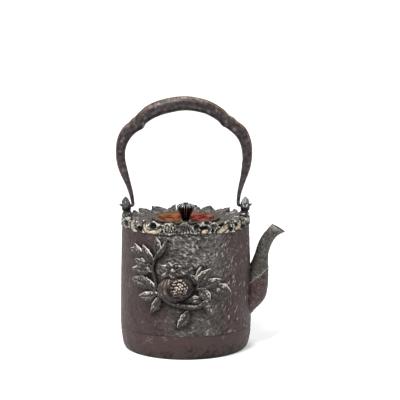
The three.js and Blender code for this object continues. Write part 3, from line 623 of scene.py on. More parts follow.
def make_wall():
    angles = fine_in_front(440, 180)
    wall_sides = len(angles)
    outer_z = np.linspace(seam, rim_foot, 116)
    outer = [(face_radius(z), z, 1) for z in outer_z]
    top = straight([
        (rim_lap, rim_foot), (rim_lap, shoulder_seat), (rim_inner, shoulder_seat),
        (rim_inner, shoulder - 0.3), (rim_inner - 0.3, shoulder), (mouth + 0.7, shoulder),
        (mouth, shoulder - 0.7), (mouth, shoulder_seat), (rim_inner - 6, shoulder_seat),
        (rim_inner, shoulder_seat - plate_sheet),
        (body_radius - body_taper - cast_wall - 5, shoulder_seat - plate_sheet),
    ], 30)
    inside_z = np.linspace(shoulder_seat - 8.3, seam, 8)
    rest = [(r, z, 0) for r, z in top] + [(float(face_radius(z)) - cast_wall, z, 0) for z in inside_z]
    profile = np.array(outer + rest)
    radius = np.repeat(profile[:, :1], wall_sides, axis=1)
    z = np.repeat(profile[:, 1:2], wall_sides, axis=1)
    angle = np.repeat(angles[None, :], len(profile), axis=0)
    depth, rocky, tone = cast_depth(angle, z)
    face = profile[:, 2:3]
    ends = step_up(z, seam, seam + 1.2) * face
    seam_round = 0.45 * bell(z - seam, 0.6) * face
    radius = radius - depth * ends - seam_round
    plate = (z > shoulder - 0.1) * (1 - face)
    dents = lumps(polar(angle, radius, z), 2.6, 3, 5)
    z = z - plate * np.clip(0.3 + 0.5 * dents, 0, 0.9)
    shade = np.where(face > 0, tone - 0.25 * bell(z - seam, 0.8), 0.45 + 0.9 * dents)
    values = {"depth": shade, "rocky": rocky * face, "plate": plate}
    return skin("kettle_wall_face", polar(angle, radius, z), values, closed=True)


wall = make_wall()

# %% [markdown]
# The spout is a tube whose edge near the kettle and whose edge away from it are two drawn lines.
# Each ring spans the two: it is given by its near and far ends, out from the wall and up from the
# foot, and half its width. The passage inside is a second, thinner tube, and a level eye through the
# wall joins it to the kettle. Both are cut, and the root is trimmed to the wall's curve.

# %% The spout's rings
spout_sheet = 2.3
spout_stations = [
    ((-9, 9), (-2, 0), 12.5), ((-9, 18), (4.8, 7.9), 15.5),
    ((-9, 28), (10.7, 13.8), 16.2), ((-8, 37), (14.6, 20), 15.4),
    ((-5, 44.5), (16.3, 29), 13.2), ((-2, 50), (16.9, 40), 10.8),
    ((0.6, 55), (16.8, 51.5), 8.9), ((2.9, 61.3), (17, 60.2), 7.7),
    ((4.9, 67.6), (18.5, 66.4), 7.1), ((7.8, 74.8), (20.9, 72.1), 6.7),
    ((12.6, 82.2), (25, 77.7), 6.6), ((19.2, 89.6), (32.5, 81.6), 7.2),
]


def spout_ring(near, far, half, inset, sides, push=0.0):
    a = np.array([body_radius + near[0], spout_foot + near[1]])
    b = np.array([body_radius + far[0], spout_foot + far[1]])
    across = b - a
    reach = np.linalg.norm(across) / 2 - inset
    across = across / np.linalg.norm(across)
    onward = np.array([-across[1], across[0]])
    centre = (a + b) / 2 + onward * push
    t = np.linspace(0, 2 * math.pi, sides, endpoint=False)
    flat = centre[None, :] + np.outer(reach * np.cos(t), across)
    return np.stack([flat[:, 0], (half - inset) * np.sin(t), flat[:, 1]], axis=-1)


def spout_rows(stations, inset, count, sides):
    drawn = through([(*near, *far, half) for near, far, half in stations], count)
    return np.array([spout_ring(d[0:2], d[2:4], d[4], inset, sides) for d in drawn])


def pushed(rows, amount):
    """Rows moved along the skin's own outward direction by amount, in millimetres."""
    along = np.gradient(rows, axis=0)
    around = (np.roll(rows, -1, axis=1) - np.roll(rows, 1, axis=1)) / 2
    normal = np.cross(around, along)
    normal /= np.maximum(np.linalg.norm(normal, axis=-1, keepdims=True), 1e-9)
    middle = rows.mean(axis=1, keepdims=True)
    side = np.sign(np.sum((rows - middle) * normal, axis=(1, 2), keepdims=True))
    return rows + normal * side * np.asarray(amount)[..., None]


print("spout rises from", round(spout_foot, 1))

# %% The spout
spout_sides = 72
seam_start = (59.2, 61.3)
seam_slope = (73.4 - 61.3) / (74.9 - 59.2)


def make_spout():
    rows = spout_rows(spout_stations, 0.35, 170, spout_sides)
    wander = lumps(rows, 5, 3, 6)
    above = rows[..., 2] - (seam_start[1] + (rows[..., 0] - seam_start[0]) * seam_slope) + 1.4 * wander
    seam_line = bell(above, 1.1)
    upper = step_up(above, -0.6, 0.8)
    rock = 0.26 * creases(rows, 5, 3, 7) + 0.2 * lumps(rows, 2.2, 3, 8)
    lip = step_up(np.linspace(0, 1, len(rows))[:, None], 0.93, 1.0)
    shape = np.clip(rock * (0.55 + 0.45 * upper) * (1 - 0.6 * lip), -0.4, 0.3)
    shape = shape - 0.28 * upper + 0.5 * seam_line
    shade = 0.55 + 0.55 * rock + 0.2 * lip
    outside = skin("spout_face", pushed(rows, shape), {"depth": shade, "upper": upper, "seam": seam_line})
    bend = spout_rows(spout_stations[2:], spout_sheet, 40, 40)
    mouth_ring = spout_ring(*spout_stations[-1], spout_sheet, 40, 2)
    cut(outside, skin("bore", np.concatenate([bend, mouth_ring[None]])))
    cut(outside, make_eye())
    cut(outside, make_envelope())
    return outside


def make_eye():
    def ring(out):
        return spout_ring((out, 42), (out, 16), 10.5, 0, 48)
    return skin("eye", [ring(-cast_wall * 2.6), ring(cast_wall * 1.3)])


def make_envelope():
    """All that lies within the wall's face, a little in from it so that the root beds in the rock."""
    z = np.linspace(seam, rim_foot + 6, 40)
    angles = np.linspace(-math.pi, math.pi, 240, endpoint=False)
    return skin("envelope", polar(angles[None, :], face_radius(z)[:, None] - 1.0, z[:, None]))


dress(make_spout(), spout_finish, "kettle", "cast_iron", "spout")
cut(wall, make_eye())
dress(wall, wall_finish, "kettle", "cast_iron", "kettle_wall")

# %% [markdown]
# The bottom pan was cast apart and set in from below, so a fine joint line runs round the kettle. Its
# face is smoother than the wall's, with a soft wave and a few pits.

# %% The bottom pan
pan_floor = 4.0
spigot_rise = 4.0
spigot_sheet = 2.2


def make_pan():
    sides = 360
    turn = np.linspace(0, 1, 60)
    corner_z = seam * (1 - np.cos(turn * math.pi / 2))
    outer = [(float(face_radius(z)), z) for z in corner_z]
    spigot = body_radius - cast_wall - gap
    inside, spigot_top = spigot - spigot_sheet, seam + spigot_rise
    inner = straight([(spigot, seam), (spigot, spigot_top), (inside, spigot_top), (inside, seam)], 8)
    drop = np.sin(np.linspace(0.05, 1, 22) * math.pi / 2)
    drawn_in = 6 * (1 - np.sqrt(1 - drop ** 2))
    bowl = list(zip(inside - drawn_in, seam - (seam - pan_floor) * drop))
    under = [(1.0, 0.0), (20.0, 0.0), (40.0, 0.0)]
    above = [(20.0, pan_floor), (1.0, pan_floor)]
    profile = np.array(under + outer + list(inner) + bowl + above)
    angles = np.linspace(-math.pi, math.pi, sides, endpoint=False)
    radius = np.repeat(profile[:, :1], sides, axis=1)
    z = np.repeat(profile[:, 1:2], sides, axis=1)
    points = polar(angles[None, :], radius, z)
    share = np.zeros(len(profile))
    share[6:3 + len(outer) - 2] = 1
    wave = 0.22 * lumps(points, 16, 2, 9) + 0.2 * lumps(points, 3.0, 3, 10)
    pits = 0.5 * np.clip(lumps(points, 2.2, 1, 11) - 0.42, 0, 1)
    depth = np.clip(0.3 - wave + pits, 0, 1) * share[:, None] + 0.35 * bell(z - seam, 0.6) * (radius > 60)
    # Painted shade: the pan grows darker towards its foot.
    painted_foot_shade = 0.42 * np.clip(1 - z / (0.75 * seam), 0, 1) ** 1.5
    shade = 0.5 + 1.25 * wave - 0.8 * pits - painted_foot_shade
    return skin("bottom_pan_face", polar(angles[None, :], radius - depth, z), {"depth": shade})


dress(make_pan(), pan_finish, "kettle", "cast_iron", "bottom_pan")

# %% [markdown]
# The rim is torn and folded like dead leaves: flaps between ragged notches, hollows with raised lips on
# the face, and fans of pleats where the metal is drawn together. Its outline is drawn once as a set of
# corners, bent by the flap at each angle, and worked in and out by the folds. Each flap is given by the
# angle where it starts, where its tip is on the way to the next and how high it stands over the
# shoulder; each hollow by its angle, height, half width, half height and depth; and each fan of pleats
# by the angle and height it spreads from, the number of its pleats and its width.

# %% Flaps, hollows, pleats and inlays of the rim
flaps = [
    (-170.5, 0.12, 4.6), (-162, 0.88, 5.0), (-144.7, 0.86, 4.8), (-128, 0.5, 3.6), (-115, 0.4, 4.2),
    (-98, 0.55, 6.2), (-82, 0.74, 6.8), (-56, 0.35, 6.2), (-47, 0.5, 6.4), (-36, 0.45, 6.6),
    (-22, 0.6, 6.3), (-7, 0.5, 6.9), (6, 0.6, 6.4), (20, 0.3, 6.6), (31, 0.7, 6.2), (44, 0.4, 6.5),
    (53, 0.34, 6.8), (78, 0.45, 6.2), (98, 0.6, 4.4), (117.5, 0.5, 4.4), (132, 0.14, 4.4),
    (149.5, 0.4, 4.6), (165, 0.75, 4.6), (173, 0.5, 4.8),
]
flap_starts = np.radians([start for start, _, _ in flaps])
rim_face = float(face_radius(rim_foot))
inlays = [
    {"at": -71.5, "z": 118.3, "wide": 2.0, "path": [(-5, 1), (-1.5, 0.2), (2, -0.6), (5, -1.2)]},
    {"at": -52, "z": 121, "wide": 4.0,
     "path": [(0, 5.0), (-3.3, 3), (-4.6, 0.5), (-3.2, -2.3), (0, -3.8), (4.5, -4.4)]},
    {"at": -31, "z": 120.3, "wide": 3.4,
     "path": [(-9, 4.2), (-8.5, 0.5), (-5.5, -2.0), (0, -2.6), (5, -1.9), (8.5, 0), (9, 1.5)]},
    {"at": -16.5, "z": 122, "wide": 1.8, "path": [(0, 2.2), (0.3, 0), (0, -2.4)]},
    {"at": 17, "z": 119.25, "wide": 3.4, "path": [(-3.0, -0.8), (0, -0.2), (3.0, 0.8)]},
    {"at": 35, "z": 119.9, "wide": 4.8, "path": [(-6.5, -2.6), (-3, -1.4), (0, 0), (3.5, 1.6), (6, 3.2)]},
    {"at": 53, "z": 121.6, "wide": 4.2,
     "path": [(4, 4), (4.4, 1.5), (3.0, -1.2), (0, -2.7), (-3.6, -3.0)]},
    {"at": 66, "z": 124, "wide": 1.6, "path": [(0, 1.8), (0.5, 0), (0.2, -2)]},
]
hollows = [
    (-80, 121.5, 2.4, 2.6, 2.0), (-66, 122, 3.2, 2.6, 2.4),
    (-44, 119.5, 2.8, 2.6, 2.8), (-30, 123.5, 3.6, 2.8, 3.0),
    (-21.5, 119.6, 1.8, 1.8, 1.6), (-7, 125, 1.6, 1.8, 1.8),
    (9.5, 124.2, 2.4, 2.4, 2.4), (16.5, 122.5, 4.2, 1.7, 2.8),
    (24, 119.4, 1.7, 1.7, 1.8), (33, 124.6, 3.0, 2.2, 2.6),
    (43.5, 119.2, 2.6, 1.8, 2.0), (50.5, 122.2, 2.4, 2.4, 2.6),
    (61, 119.4, 2.2, 2.6, 2.0), (72, 121, 2.6, 2.6, 2.0),
    (97, 121, 3.2, 2.8, 2.2), (118, 119.5, 2.8, 2.4, 2.2),
    (141, 121, 3.2, 2.8, 2.4), (163, 119.6, 2.8, 2.4, 2.2),
    (-172, 121, 3.0, 2.6, 2.2), (-150, 119.6, 3.0, 2.6, 2.4),
    (-128, 121.2, 2.8, 2.6, 2.2), (-104, 120, 3.2, 2.4, 2.4),
]
pleat_fans = [(0.5, 129.5, 12, 7.0), (-11.5, 146, 42, 4.4)]


def flap(angle):
    """Crest height at an angle, how full its flap is there, and how far its tip leans sideways."""
    after = np.searchsorted(flap_starts, angle) % len(flaps)
    _, tip, above = flaps[after - 1]
    start = flap_starts[after - 1]
    share = ((angle - start) % (2 * math.pi)) / ((flap_starts[after] - start) % (2 * math.pi))
    steep = tip < 0.5
    before = share / tip if steep else (1 - share) / (1 - tip)
    beyond = (1 - share) / (1 - tip) if steep else share / tip
    full = before ** 1.3 if before < 1 else max(0.0, beyond) ** 0.7
    teeth = 0.35 * abs(math.sin(math.pi * (2.6 + after % 3) * share + after))
    lean = (-1 if steep else 1) * math.radians(1.6) * float(bell(share - tip, 0.14))
    return shoulder + above - teeth * full, full, lean


def rim_edge(angle):
    """The ragged line where the torn metal of the rim ends and the plain wall begins."""
    slow = rim_foot + 3.9 + 0.7 * np.sin(5 * angle + 0.6)
    return slow + 0.45 * np.sin(13 * angle + 2) + 0.3 * np.sin(29 * angle)


def rim_outline(angle, outer_count, inner_count):
    """One section of what shows: up the outer face, over the crest and down to the shoulder plate."""
    height, full, lean = flap(angle)
    notch = shoulder + (2.6 if abs(angle) < math.radians(65) else -0.6)
    rise = (height - notch) * full
    top = notch + rise
    drop = top - shoulder
    outer_z = np.linspace(rim_foot - 0.15, top - 0.7, outer_count)
    outer_radius = face_radius(outer_z) - 0.8 * step_up(outer_z, top - 2.2, top - 0.5)
    outer = np.stack([outer_radius, outer_z], axis=-1)
    over = through([
        outer[-1], (rim_face - 1.6, top), (rim_face - 2.7, top - 0.12 * drop),
        (rim_face - 4.4, top - 0.4 * drop), ((rim_lap + rim_inner) / 2, shoulder + 0.3 * drop),
        (rim_inner + 2.2, shoulder + 0.2), (rim_inner - 0.6, shoulder - 0.35),
    ], inner_count + 1)[1:]
    section = np.concatenate([outer, over])
    leans = lean * np.clip((section[:, 1] - shoulder) / 5, 0, 1) ** 2
    return np.column_stack([section, angle + leans])


def far_from_inlay(angle, z, inlay):
    """Distance in millimetres from the middle line of an inlay, on the rim's face."""
    line = through(inlay["path"], 40)
    across = (angle - math.radians(inlay["at"])) * rim_face
    up = z - inlay["z"]
    return np.min(np.hypot(across[..., None] - line[:, 0], up[..., None] - line[:, 1]), axis=-1)


def rim_folds(angle, z, outer, points):
    """In and out of the rim's surface, in millimetres, at points of its outer and inner faces."""
    drift = lumps(points, 5, 2, 14)
    shape = 0.85 * creases(points, 2.8, 2, 12) - 0.1 + 0.4 * lumps(points, 1.3, 2, 13)
    flutes = np.abs(np.sin(angle * 17 + 2.8 * drift))
    shape = shape * (0.6 + 0.4 * outer) + (1 - outer) * 0.8 * (flutes - 0.6)
    for at, height, count, wide in pleat_fans:
        across = (angle - math.radians(at)) * rim_face
        turn = np.arctan2(across, np.maximum(height - z, 0.3))
        near = bell(across, wide) * outer
        pleats = 1.8 * (np.abs(np.sin((turn + 0.09 * drift) * count)) - 0.6) * (0.8 + 0.4 * drift)
        shape = shape * (1 - 0.65 * near) + pleats * near
    for at, height, wide, tall, deep in hollows:
        across = (angle - math.radians(at) + math.pi) % (2 * math.pi) - math.pi
        u, w = across * rim_face / wide, (z - height) / tall
        far = np.hypot(u, w)
        lip = 0.9 * bell(far - 1.25, 0.2) * (0.45 + 0.55 * w / np.maximum(far, 0.1))
        shape = shape - (deep + shape) * np.exp(-far ** 4) * outer + lip * outer
    for inlay in inlays:
        far = far_from_inlay(angle, z, inlay) - inlay["wide"] / 2
        bed = (1 - step_up(far, 0.0, 0.8)) * outer
        shape = shape * (1 - bed) - 0.55 * bed + 0.5 * bell(far - 1.4, 0.5) * outer
    return np.clip(shape, -3.2, 1.1)


# %% The rim casting
def make_rim():
    outer_count, inner_count = 36, 28
    seen = [rim_outline(a, outer_count, inner_count) for a in fine_in_front(700, 260)]
    seen = np.array(seen).transpose(1, 0, 2)
    section, angle = seen[..., :2], seen[..., 2]
    z = section[..., 1]
    along = np.gradient(section, axis=0)
    normal = np.stack([along[..., 1], -along[..., 0]], axis=-1)
    normal /= np.maximum(np.linalg.norm(normal, axis=-1, keepdims=True), 1e-6)
    row = np.arange(outer_count + inner_count)[:, None]
    outer = 1 - step_up(row, outer_count, outer_count + 6) + 0 * angle
    shape = rim_folds(angle, z, outer, polar(angle, section[..., 0], z))
    depth, rocky, tone = cast_depth(angle, z)
    above = z - rim_edge(angle)
    band = np.maximum(step_up(above, -0.35, 0.35), 1 - outer)
    roll = 0.5 * bell(above - 0.6, 0.5) * outer
    ends = 1 - step_up(row, outer_count + inner_count - 7, outer_count + inner_count - 1)
    push = (shape + roll) * band * ends - depth * (1 - band)
    moved = section + normal * push[..., None]
    patches = lumps(polar(angle, rim_face, z), 4, 2, 26)
    crest = bell(row - outer_count, 2.5)
    # The inner faces of the flaps are darker away from the crest, and the crest rows lighter.
    inner_darkening = 0.16 * (1 - outer) * (1 - crest)
    shade = (0.41 + 0.44 * shape + 0.2 * roll + 0.25 * patches + 0.2 * crest - inner_darkening) * band
    # The wall just below the band's rolled lip is painted darker, as the lip's painted shadow.
    shade = shade + (tone - 0.3 * bell(above + 0.7, 0.7)) * (1 - band)
    hidden = straight([
        (rim_inner - 0.6, shoulder - 0.8), (rim_inner + gap, shoulder_seat + 0.2),
        (rim_lap + gap, shoulder_seat + 0.2), (rim_lap + gap, rim_foot + gap),
        (rim_face - 1.8, rim_foot + 0.1),
    ], 12)
    sides = angle.shape[1]
    hidden = np.repeat(hidden[:, None, :], sides, axis=1)
    whole = np.concatenate([moved, hidden])
    angle = np.concatenate([angle, np.repeat(angle[:1], len(hidden), axis=0)])
    plain = np.full(hidden.shape[:2], 0.3)
    values = {label: np.concatenate([numbers, plain])
              for label, numbers in (("depth", shade), ("rocky", rocky), ("band", band))}
    return skin("rim_crown_face", polar(angle, whole[..., 0], whole[..., 1]), values, closed=True)


dress(paint_top_light(make_rim(), 0.18), rim_finish, "kettle", "cast_iron", "rim_crown")

# %% [markdown]
# Pale metal was laid into some of the rim's lips, as crescents, hooks and short bars. Each is a
# tapering bead with a ragged edge along its own line, bedded in the rim's face.

# %% The pale inlays
def make_inlay(number, inlay):
    count = 60
    line = through(inlay["path"], count)
    heading = np.gradient(line, axis=0)
    heading /= np.linalg.norm(heading, axis=1, keepdims=True)
    side = np.stack([-heading[:, 1], heading[:, 0]], axis=-1)
    t = np.linspace(0, 1, count)
    taper = np.sin(math.pi * np.clip(t, 0.03, 0.97)) ** 0.35
    wander = lumps(np.stack([t * 16, t * 0 + number, t * 0], axis=-1), 1.4, 2, 15)
    half = inlay["wide"] / 2 * taper * (1 + 0.3 * wander)
    around = np.linspace(0, 2 * math.pi, 18, endpoint=False)
    place = line[:, None, :] + side[:, None, :] * (half[:, None] * np.cos(around))[..., None]
    angle = math.radians(inlay["at"]) + place[..., 0] / rim_face
    z = inlay["z"] + place[..., 1]
    rough = lumps(polar(angle, rim_face, z), 1.5, 2, 16)
    out = -0.5 + (0.3 + 0.4 * taper[:, None]) * np.sin(around) + 0.12 * rough
    shade = 0.45 + 0.5 * np.sin(around) + 0.3 * rough
    return skin(f"rim_inlay_{number}_face", polar(angle, face_radius(z) + out, z), {"depth": shade})


for number, inlay in enumerate(inlays, start=1):
    dress(make_inlay(number, inlay), inlay_finish, "kettle", "pale_inlay", f"rim_inlay_{number}")

# %% [markdown]
# Bars that follow a line are swept by Geometry Nodes: the line's own points carry their thickness, a
# round profile is swept along, and noise moves the skin a little in and out. One tree serves the
# handle, the stems and the branch, with its sizes as named inputs. The first cell holds what it shares
# with the tree that scatters seeds further on.

# %% A tree that grows a mesh from another
class Grower(Tree):
    """Geometry Nodes with one mesh and some sizes as inputs. What build returns gets the finish."""

    def __init__(self, name, **inputs):
        self.group = bpy.data.node_groups.new(name, "GeometryNodeTree")
        super().__init__(self.group.nodes, self.group.links)
        face = self.group.interface
        face.new_socket("From", in_out="INPUT", socket_type="NodeSocketGeometry")
        self.inputs = {}
        for label, kind in inputs.items():
            socket = face.new_socket(label, in_out="INPUT", socket_type=f"NodeSocket{kind}")
            self.inputs[label] = socket.identifier
        face.new_socket("Grown", in_out="OUTPUT", socket_type="NodeSocketGeometry")
        given = self.nodes.new("NodeGroupInput")
        wires = {socket.name: Wire(self, socket) for socket in given.outputs if socket.name}
        real = self.add("GeometryNodeRealizeInstances", None, {"Geometry": self.build(wires)})
        feeds = {"Geometry": real, "Material": wires["Finish"]}
        painted = self.add("GeometryNodeSetMaterial", None, feeds)
        result = self.nodes.new("NodeGroupOutput")
        self.links.new(painted.socket, result.inputs["Grown"])

    def grow(self, mesh, **values):
        """The mesh that the tree makes from this one."""
        carrier = in_scene("carrier", mesh)
        modifier = carrier.modifiers.new("Grow", "NODES")
        modifier.node_group = self.group
        for label, value in values.items():
            modifier[self.inputs[label]] = value
        depsgraph = bpy.context.evaluated_depsgraph_get()
        grown = bpy.data.meshes.new_from_object(carrier.evaluated_get(depsgraph))
        bpy.data.objects.remove(carrier)
        return grown


# %% A tree that sweeps a bar
class Sweep(Grower):
    """Sweeps an oval along a line of points, each with its radius, and roughens the skin."""

    def build(self, wires):
        line = self.add("GeometryNodeMeshToCurve", None, {"Mesh": wires["From"]})
        thick = self.add("GeometryNodeInputNamedAttribute", {"data_type": "FLOAT"}, {"Name": "thick"})
        ring = self.add("GeometryNodeCurvePrimitiveCircle", {"mode": "RADIUS"},
                        {"Resolution": wires["sides"], "Radius": 1.0})
        oval = self.add("ShaderNodeCombineXYZ", None, {"X": 1.0, "Y": wires["depth_share"], "Z": 1.0})
        profile = self.add("GeometryNodeTransform", None, {"Geometry": ring, "Scale": oval})
        bar = self.add("GeometryNodeCurveToMesh", None,
                       {"Curve": line, "Profile Curve": profile, "Scale": thick, "Fill Caps": True})
        lump = self.add("ShaderNodeTexNoise", {"noise_dimensions": "3D"},
                        {"Scale": wires["lump_scale"], "Detail": 3.0})
        depth = (lump - 0.5) * wires["lump_depth"]
        normal = self.add("GeometryNodeInputNormal")
        push = self.add("ShaderNodeVectorMath", {"operation": "SCALE"}, {0: normal, "Scale": depth})
        return self.add("GeometryNodeSetPosition", None, {"Geometry": bar, "Offset": push})


sweep_tree = Sweep("swept bar", sides="Int", depth_share="Float", lump_scale="Float",
                   lump_depth="Float", Finish="Material")


def swept(name, lines, finish, sides=20, depth_share=1.0, lump_size=2.0, lump_depth=0.1):
    """A plain mesh of bars along lines of (x, y, z, radius) rows, in millimetres."""
    points = np.concatenate(lines)
    edges, start = [], 0
    for line in lines:
        edges += [(start + i, start + i + 1) for i in range(len(line) - 1)]
        start += len(line)
    mesh = bpy.data.meshes.new(name)
    mesh.from_pydata((points[:, :3] * MM).tolist(), edges, [])
    keep(mesh, "thick", points[:, 3] * MM)
    result = sweep_tree.grow(mesh, sides=sides, depth_share=depth_share, lump_scale=1 / (lump_size * MM),
                             lump_depth=lump_depth * 2 * MM, Finish=finish.material)
    result.name = name
    outward(result)
    return in_scene(name, result)


def vertices_mm(piece):
    flat = np.empty(len(piece.data.vertices) * 3)
    piece.data.vertices.foreach_get("co", flat)
    return flat.reshape(-1, 3) / MM


print("sweep tree has", len(sweep_tree.nodes), "nodes")

# %% [markdown]
# The handle is one long arch with two shoulders where its outline breaks. The bow is a hollow forging,
# and a solid leg comes out of each end, bends through the eye of its lug and ends in a turned-up spur.

# %% The handle's line
lug_spread = (lug_low[0] + lug_high[0]) / 2
lug_thickness = lug_high[0] - lug_low[0]
leg_end = 3.2
leg_x = lug_spread - lug_thickness / 2 - gap - leg_end / 2
line_below_top = 7.0
handle_rise = handle_top - line_below_top - pivot
handle_lean = 1.5
left_stations = [
    (1.0, 0.03, 3.2), (1.021, 0.116, 4.2), (1.062, 0.204, 5.3), (1.115, 0.292, 7.0), (1.166, 0.381, 8.2),
    (1.196, 0.468, 8.5), (1.195, 0.556, 9.0), (1.157, 0.646, 10.6), (1.053, 0.735, 11.7),
    (0.88, 0.807, 11.2), (0.802, 0.858, 11.9), (0.637, 0.922, 13.2), (0.376, 0.972, 13.5),
]
right_stations = [
    (1.0, 0.03, 3.2), (1.028, 0.115, 3.9), (1.077, 0.202, 5.2), (1.131, 0.29, 6.5), (1.175, 0.38, 8.2),
    (1.196, 0.468, 9.0), (1.188, 0.556, 9.8), (1.145, 0.643, 10.8), (1.042, 0.73, 11.7),
    (0.866, 0.798, 10.7), (0.763, 0.838, 10.8), (0.613, 0.903, 11.8), (0.372, 0.967, 12.4),
]
cusps = [(-48.1, 215.1, 1.3), (43.9, 215.9, 1.1), (-40.7, 207.6, -0.9), (35.0, 209.4, -0.9)]
rings_between = 12
leg_rings = 3 * rings_between
top_half = 6.55
hands = {-1: "left", 1: "right"}


def handle_place(side, across, up, thick):
    lean = handle_lean * math.sin(min(1, up * 1.1) * math.pi)
    return (side * across * leg_x - lean, 0.0, pivot + up * handle_rise, thick / 2)


def handle_points():
    left = [handle_place(-1, *s) for s in left_stations]
    right = [handle_place(1, *s) for s in right_stations][::-1]
    return left + [(0.0, 0.0, pivot + handle_rise, top_half)] + right


spans = len(left_stations) + len(right_stations)
whole_line = through(handle_points(), spans * rings_between + 1)
bow_line = whole_line[leg_rings:len(whole_line) - leg_rings]
print("handle rises", round(handle_rise, 1), "over", len(bow_line), "rings")


# %% The bow and its legs
def shade_bar(piece, line, seed):
    """Stores how far out each point lies, for the worn edge, and lumps, for the iron's tones."""
    points = vertices_mm(piece)
    nearest = np.array([np.argmin(np.sum((line[:, :3] - p) ** 2, axis=1)) for p in points])
    heading = np.gradient(line[:, :3], axis=0)[nearest]
    side = np.stack([-heading[:, 2], 0 * heading[:, 0], heading[:, 0]], axis=-1)
    side /= np.maximum(np.linalg.norm(side, axis=1, keepdims=True), 1e-9)
    out = np.sum((points - line[nearest, :3]) * side, axis=1) / line[nearest, 3]
    store(piece, "edge", bell(out - 0.82, 0.16))
    store(piece, "depth", 0.5 + 0.5 * lumps(points, 4, 3, seed))


def make_bow():
    line = bow_line.copy()
    line[:, 3] -= 0.12
    piece = swept("handle_bow_face", [line], handle_finish, 48, 1.06, 5.0, 0.22)
    shade_bar(piece, line, 17)
    points = vertices_mm(piece)
    for x, z, amount in cusps:
        away = np.array([x, 0, z - pivot - 40])
        near = bell(np.hypot(points[:, 0] - x, points[:, 2] - z), 3.2)
        points += near[:, None] * amount * away / np.linalg.norm(away)
    piece.data.vertices.foreach_set("co", (points * MM).ravel())
    return piece


def make_leg(side):
    upper = whole_line[:leg_rings + 1][::-1] if side < 0 else whole_line[len(whole_line) - leg_rings - 1:]
    upper = upper[:-2]
    x = side * leg_x
    pin_from, pin_to = lug_spread - lug_thickness / 2, lug_spread + lug_thickness / 2
    elbow = through([
        tuple(upper[-1]), (x, 0, pivot + 2.0, 1.6), (x + side * 0.5, 0, pivot + 0.5, 1.6),
        (x + side * 1.6, 0, pivot, 1.5), (side * pin_from, 0, pivot, 1.45), (side * pin_to, 0, pivot, 1.45),
        (side * (pin_to + 1.3), 0, pivot + 0.25, 1.4), (side * (pin_to + 2.7), 0, pivot + 0.9, 1.05),
        (side * (pin_to + 3.9), 0, pivot + 1.75, 0.45),
    ], 60)
    line = np.concatenate([upper, elbow[1:]])
    piece = swept(f"handle_leg_{hands[side]}_face", [line], handle_finish, 24, 1.0, 2.5, 0.14)
    shade_bar(piece, line, 18)
    return piece


dress(make_bow(), handle_finish, "handle", "handle_iron", "handle_bow")
for side, word in hands.items():
    dress(make_leg(side), handle_finish, "handle", "handle_iron", f"handle_leg_{word}")

# %% [markdown]
# Each lug is modelled as a closed bud that leans outward, with pointed scales that lap over one another
# and an oval leaf in front, on a stalk with a flared foot. Rings round a pointed egg give the bud, and
# the scales are steps in its radius. The eye is cut through.

# %% The lugs
lug_lean_out = 3.0
eye_radius = 1.9
scale_tiers = [(0.2, 0.62), (0.34, 0.82), (0.5, 1.02)]
leaf_half_wide, leaf_half_tall, leaf_up = 2.9, 5.6, 4.0


def make_lug(side):
    x = side * lug_spread
    top = lug_high[2]
    t = np.linspace(0, 1, 84)
    z = shoulder + 0.2 + (top - shoulder - 0.2) * t
    foot = 1 - step_up(z, pivot - 7.5, pivot - 4.5)
    stalk = 0.86 + 0.5 * foot
    bud = np.clip(1 - np.clip((t - 0.58) / 0.42, 0, 1) ** 1.6, 0, 1) ** 0.65
    swell = np.where(t < 0.3, stalk, stalk + (1 - stalk) * step_up(t, 0.3, 0.55)) * bud
    swell = np.maximum(swell, 0.03)
    around = np.linspace(0, 2 * math.pi, 64, endpoint=False)
    scale_edge = 0.0
    for tier, (low, high) in enumerate(scale_tiers):
        lobes = np.abs(np.cos(1.5 * around + tier * 0.9))[None, :]
        tip = low + (high - low) * lobes ** 0.7
        scale_edge = scale_edge + 0.09 * step_up(tip - t[:, None], 0.0, 0.03)
    rib = 0.05 * bell(np.sin(1.5 * around)[None, :], 0.12) * step_up(t, 0.4, 0.6)[:, None]
    size = swell[:, None] * (0.9 + 0.5 * scale_edge + rib)
    full = 0.65 * step_up(z, pivot - 6.5, pivot - 3.5) + 0.35 * step_up(z, pivot + 2.2, pivot + 4.2)
    full = lug_lean_out * full[:, None]
    middle = x + side * full / 2
    points = np.stack([
        middle + size * (lug_thickness + full) / 2 * np.cos(around),
        size * lug_high[1] * np.sin(around),
        np.repeat(z[:, None], len(around), axis=1),
    ], axis=-1)
    rough = lumps(points, 1.6, 3, 19)
    leaf_z = (points[..., 2] - pivot - leaf_up) / leaf_half_tall
    oval = np.hypot((points[..., 0] - middle) / leaf_half_wide, leaf_z)
    front = points[..., 1] < 0
    leaf = (0.5 * bell(oval - 0.85, 0.14) + 0.45 * bell(oval, 0.3)) * front
    points[..., 1] -= 0.7 * leaf
    # Painted light: the front of the bud is painted lighter from just below the eye upward, the right lug
    # more than the left, and the raised oval leaf lighter still as a painted highlight; the front of the
    # stalk below stays nearly black as painted shade.
    lug_light = 0.62 if side > 0 else 0.42
    lit = lug_light * step_up(z, pivot - 3.5, pivot + 0.5)[:, None] * front
    shade = lit + 0.7 * leaf + 0.25 * rough - 0.05
    shade = np.where(front, shade, 0.15 + 2.2 * scale_edge + 0.3 * rough)
    shade = shade + foot[:, None] * (0.5 + 0.6 * rough)
    piece = skin(f"lug_{hands[side]}_face", points, {"depth": shade})
    bar = np.linspace(0, 2 * math.pi, 24, endpoint=False)
    ring = np.stack([0 * bar, eye_radius * np.cos(bar), pivot + eye_radius * np.sin(bar)], axis=-1)
    ends = [ring + [x + d, 0, 0] for d in (-lug_thickness, lug_thickness)]
    cut(piece, skin("lug eye", ends))
    return piece


for side, word in hands.items():
    dress(make_lug(side), lug_finish, "kettle", "cast_iron", f"lug_{word}")

